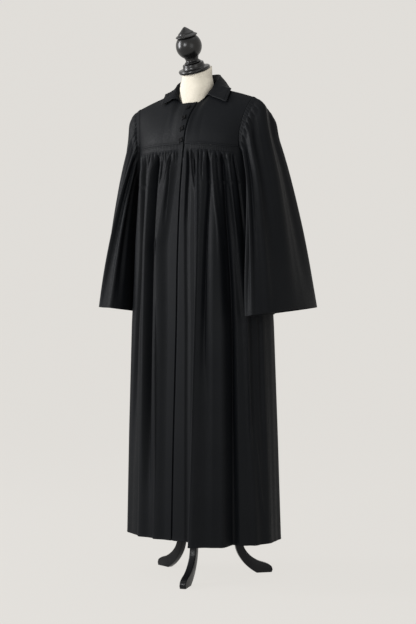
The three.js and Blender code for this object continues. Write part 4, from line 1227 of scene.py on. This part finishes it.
def stitched(line, outs):
    """Chains of single stitches along a line of points, each a short arch over the cloth."""
    along = run_along(line)
    chains = []
    for start in np.arange(0.5, along[-1] - STITCH, STITCH + STITCH_GAP):
        places = start + STITCH * np.array([0, 0.3, 0.7, 1])
        points = np.stack([np.interp(places, along, line[:, k]) for k in range(3)], axis=-1)
        middle = int(np.searchsorted(along, places[1]))
        arch = np.array([[-0.1], [1.0], [1.0], [-0.1]])
        points += outs[min(middle, len(outs) - 1)] * arch * STITCH_LIFT
        chains.append(points)
    return chains


def skirt_row(z, start, end):
    turn = np.arange(start, end, 0.2)
    z = 0 * turn + z
    out = plain_normal(turn, z)
    return skirt_base(turn, z) + out * smock_rise(turn, z)[:, None], out


def yoke_row(t, start, end, back=False):
    w = np.linspace(start, end, 260)
    p = yoke_point(w, 0 * w + t, back)
    out = outward(p)
    return p + out * 0.15, out


def collar_row(row):
    points = collar_outer[row]
    lift = collar_lift[row]
    return points + lift * 0.1, lift


rows = [skirt_row(z, a, b) for z in STITCH_ROWS[::2] for a, b in ((-60, -1), (14, 60), (114, 246))]
rows += [yoke_row(0.035, -0.98, -0.03), yoke_row(0.035, 0.16, 0.98),
         yoke_row(0.03, -0.98, 0.98, True), collar_row(-3)]
stitch_chains = [chain for line, outs in rows for chain in stitched(line, outs)]
tubes("seam_stitches", stitch_chains, STITCH_RADIUS, thread)

bars = []
for seat, side, up, out in buttons:
    slant = unit(0.5 * side + 0.87 * up)
    for way in (-1, 1):
        reach = np.array(BAR_REACH)[:, None] * way
        bars.append(seat + slant * reach + out * BAR_LIFT)
tubes("buttonhole_bars", bars, BAR_RADIUS, thread, 8)

# ---- stage and light
FLOOR_RADIUS = 9.0
SWEEP = 3.0  # radius of the curve between the floor and the wall
WALL_TOP = 6.5


def studio_bowl():
    """Round floor that curves up into a wall, open at the top; in metres."""
    profile = [(0.01, 0.0), (1.5, 0.0), (3.0, 0.0), (FLOOR_RADIUS - SWEEP, 0.0)]
    for angle in np.linspace(0, np.pi / 2, 13)[1:]:
        profile.append((FLOOR_RADIUS - SWEEP + SWEEP * math.sin(angle),
                        SWEEP - SWEEP * math.cos(angle)))
    profile.append((FLOOR_RADIUS, WALL_TOP))
    verts, faces = lathe(profile, 96, upright)
    mesh = bpy.data.meshes.new("studio_floor")
    mesh.from_pydata(verts.tolist(), [], faces[:-1])
    mesh.polygons.foreach_set("use_smooth", [True] * len(mesh.polygons))
    n = Nodes("studio_paper")
    cloud = n.noise(n.object, 0.8, 2.0)
    n.set(Base_Color=n.blend(cloud, (0.028, 0.0275, 0.027), (0.032, 0.0315, 0.031)),
          Roughness=0.6, Specular_IOR_Level=0.0, Emission_Color=(0.7, 0.68, 0.648, 1),
          Emission_Strength=1.035)
    mesh.materials.append(n.material)
    floor = bpy.data.objects.new("studio_floor", mesh)
    bpy.context.collection.objects.link(floor)


studio_bowl()


def area_light(name, place, target, size, power, colour=(1, 1, 1)):
    data = bpy.data.lights.new(name, "AREA")
    data.shape = "RECTANGLE"
    data.size, data.size_y = size
    data.energy = power
    data.color = colour
    lamp = bpy.data.objects.new(name, data)
    bpy.context.collection.objects.link(lamp)
    lamp.location = place
    direction = Vector(target) - Vector(place)
    lamp.rotation_euler = direction.to_track_quat("-Z", "Y").to_euler()


def beside(right, towards, height):
    """Place given from the camera's side: to its right, towards it and up, in metres."""
    return (*turned(right, -towards, AZIMUTH), height)


area_light("key", beside(-2.3, 3.3, 1.7), (0, 0, 1.3), (1.0, 1.2), 62, (0.98, 0.99, 1))
area_light("left_panel", beside(-3.6, 0, 2.1), (0, 0, 1.4), (1.1, 2.2), 160, (0.98, 0.98, 1))
area_light("fill", beside(1.6, 3.6, 1.0), (0, 0, 0.9), (2.0, 2.0), 22, (0.97, 0.98, 1))
area_light("top", beside(0.4, 0.6, 4.8), (0, 0, 0.6), (3.0, 3.0), 22)

world = bpy.data.worlds.new("studio_world")
world.use_nodes = True
world.node_tree.nodes["Background"].inputs["Color"].default_value = (1, 0.985, 0.965, 1)
world.node_tree.nodes["Background"].inputs["Strength"].default_value = 0.7
bpy.context.scene.world = world
bpy.context.scene.view_settings.view_transform = "Standard"
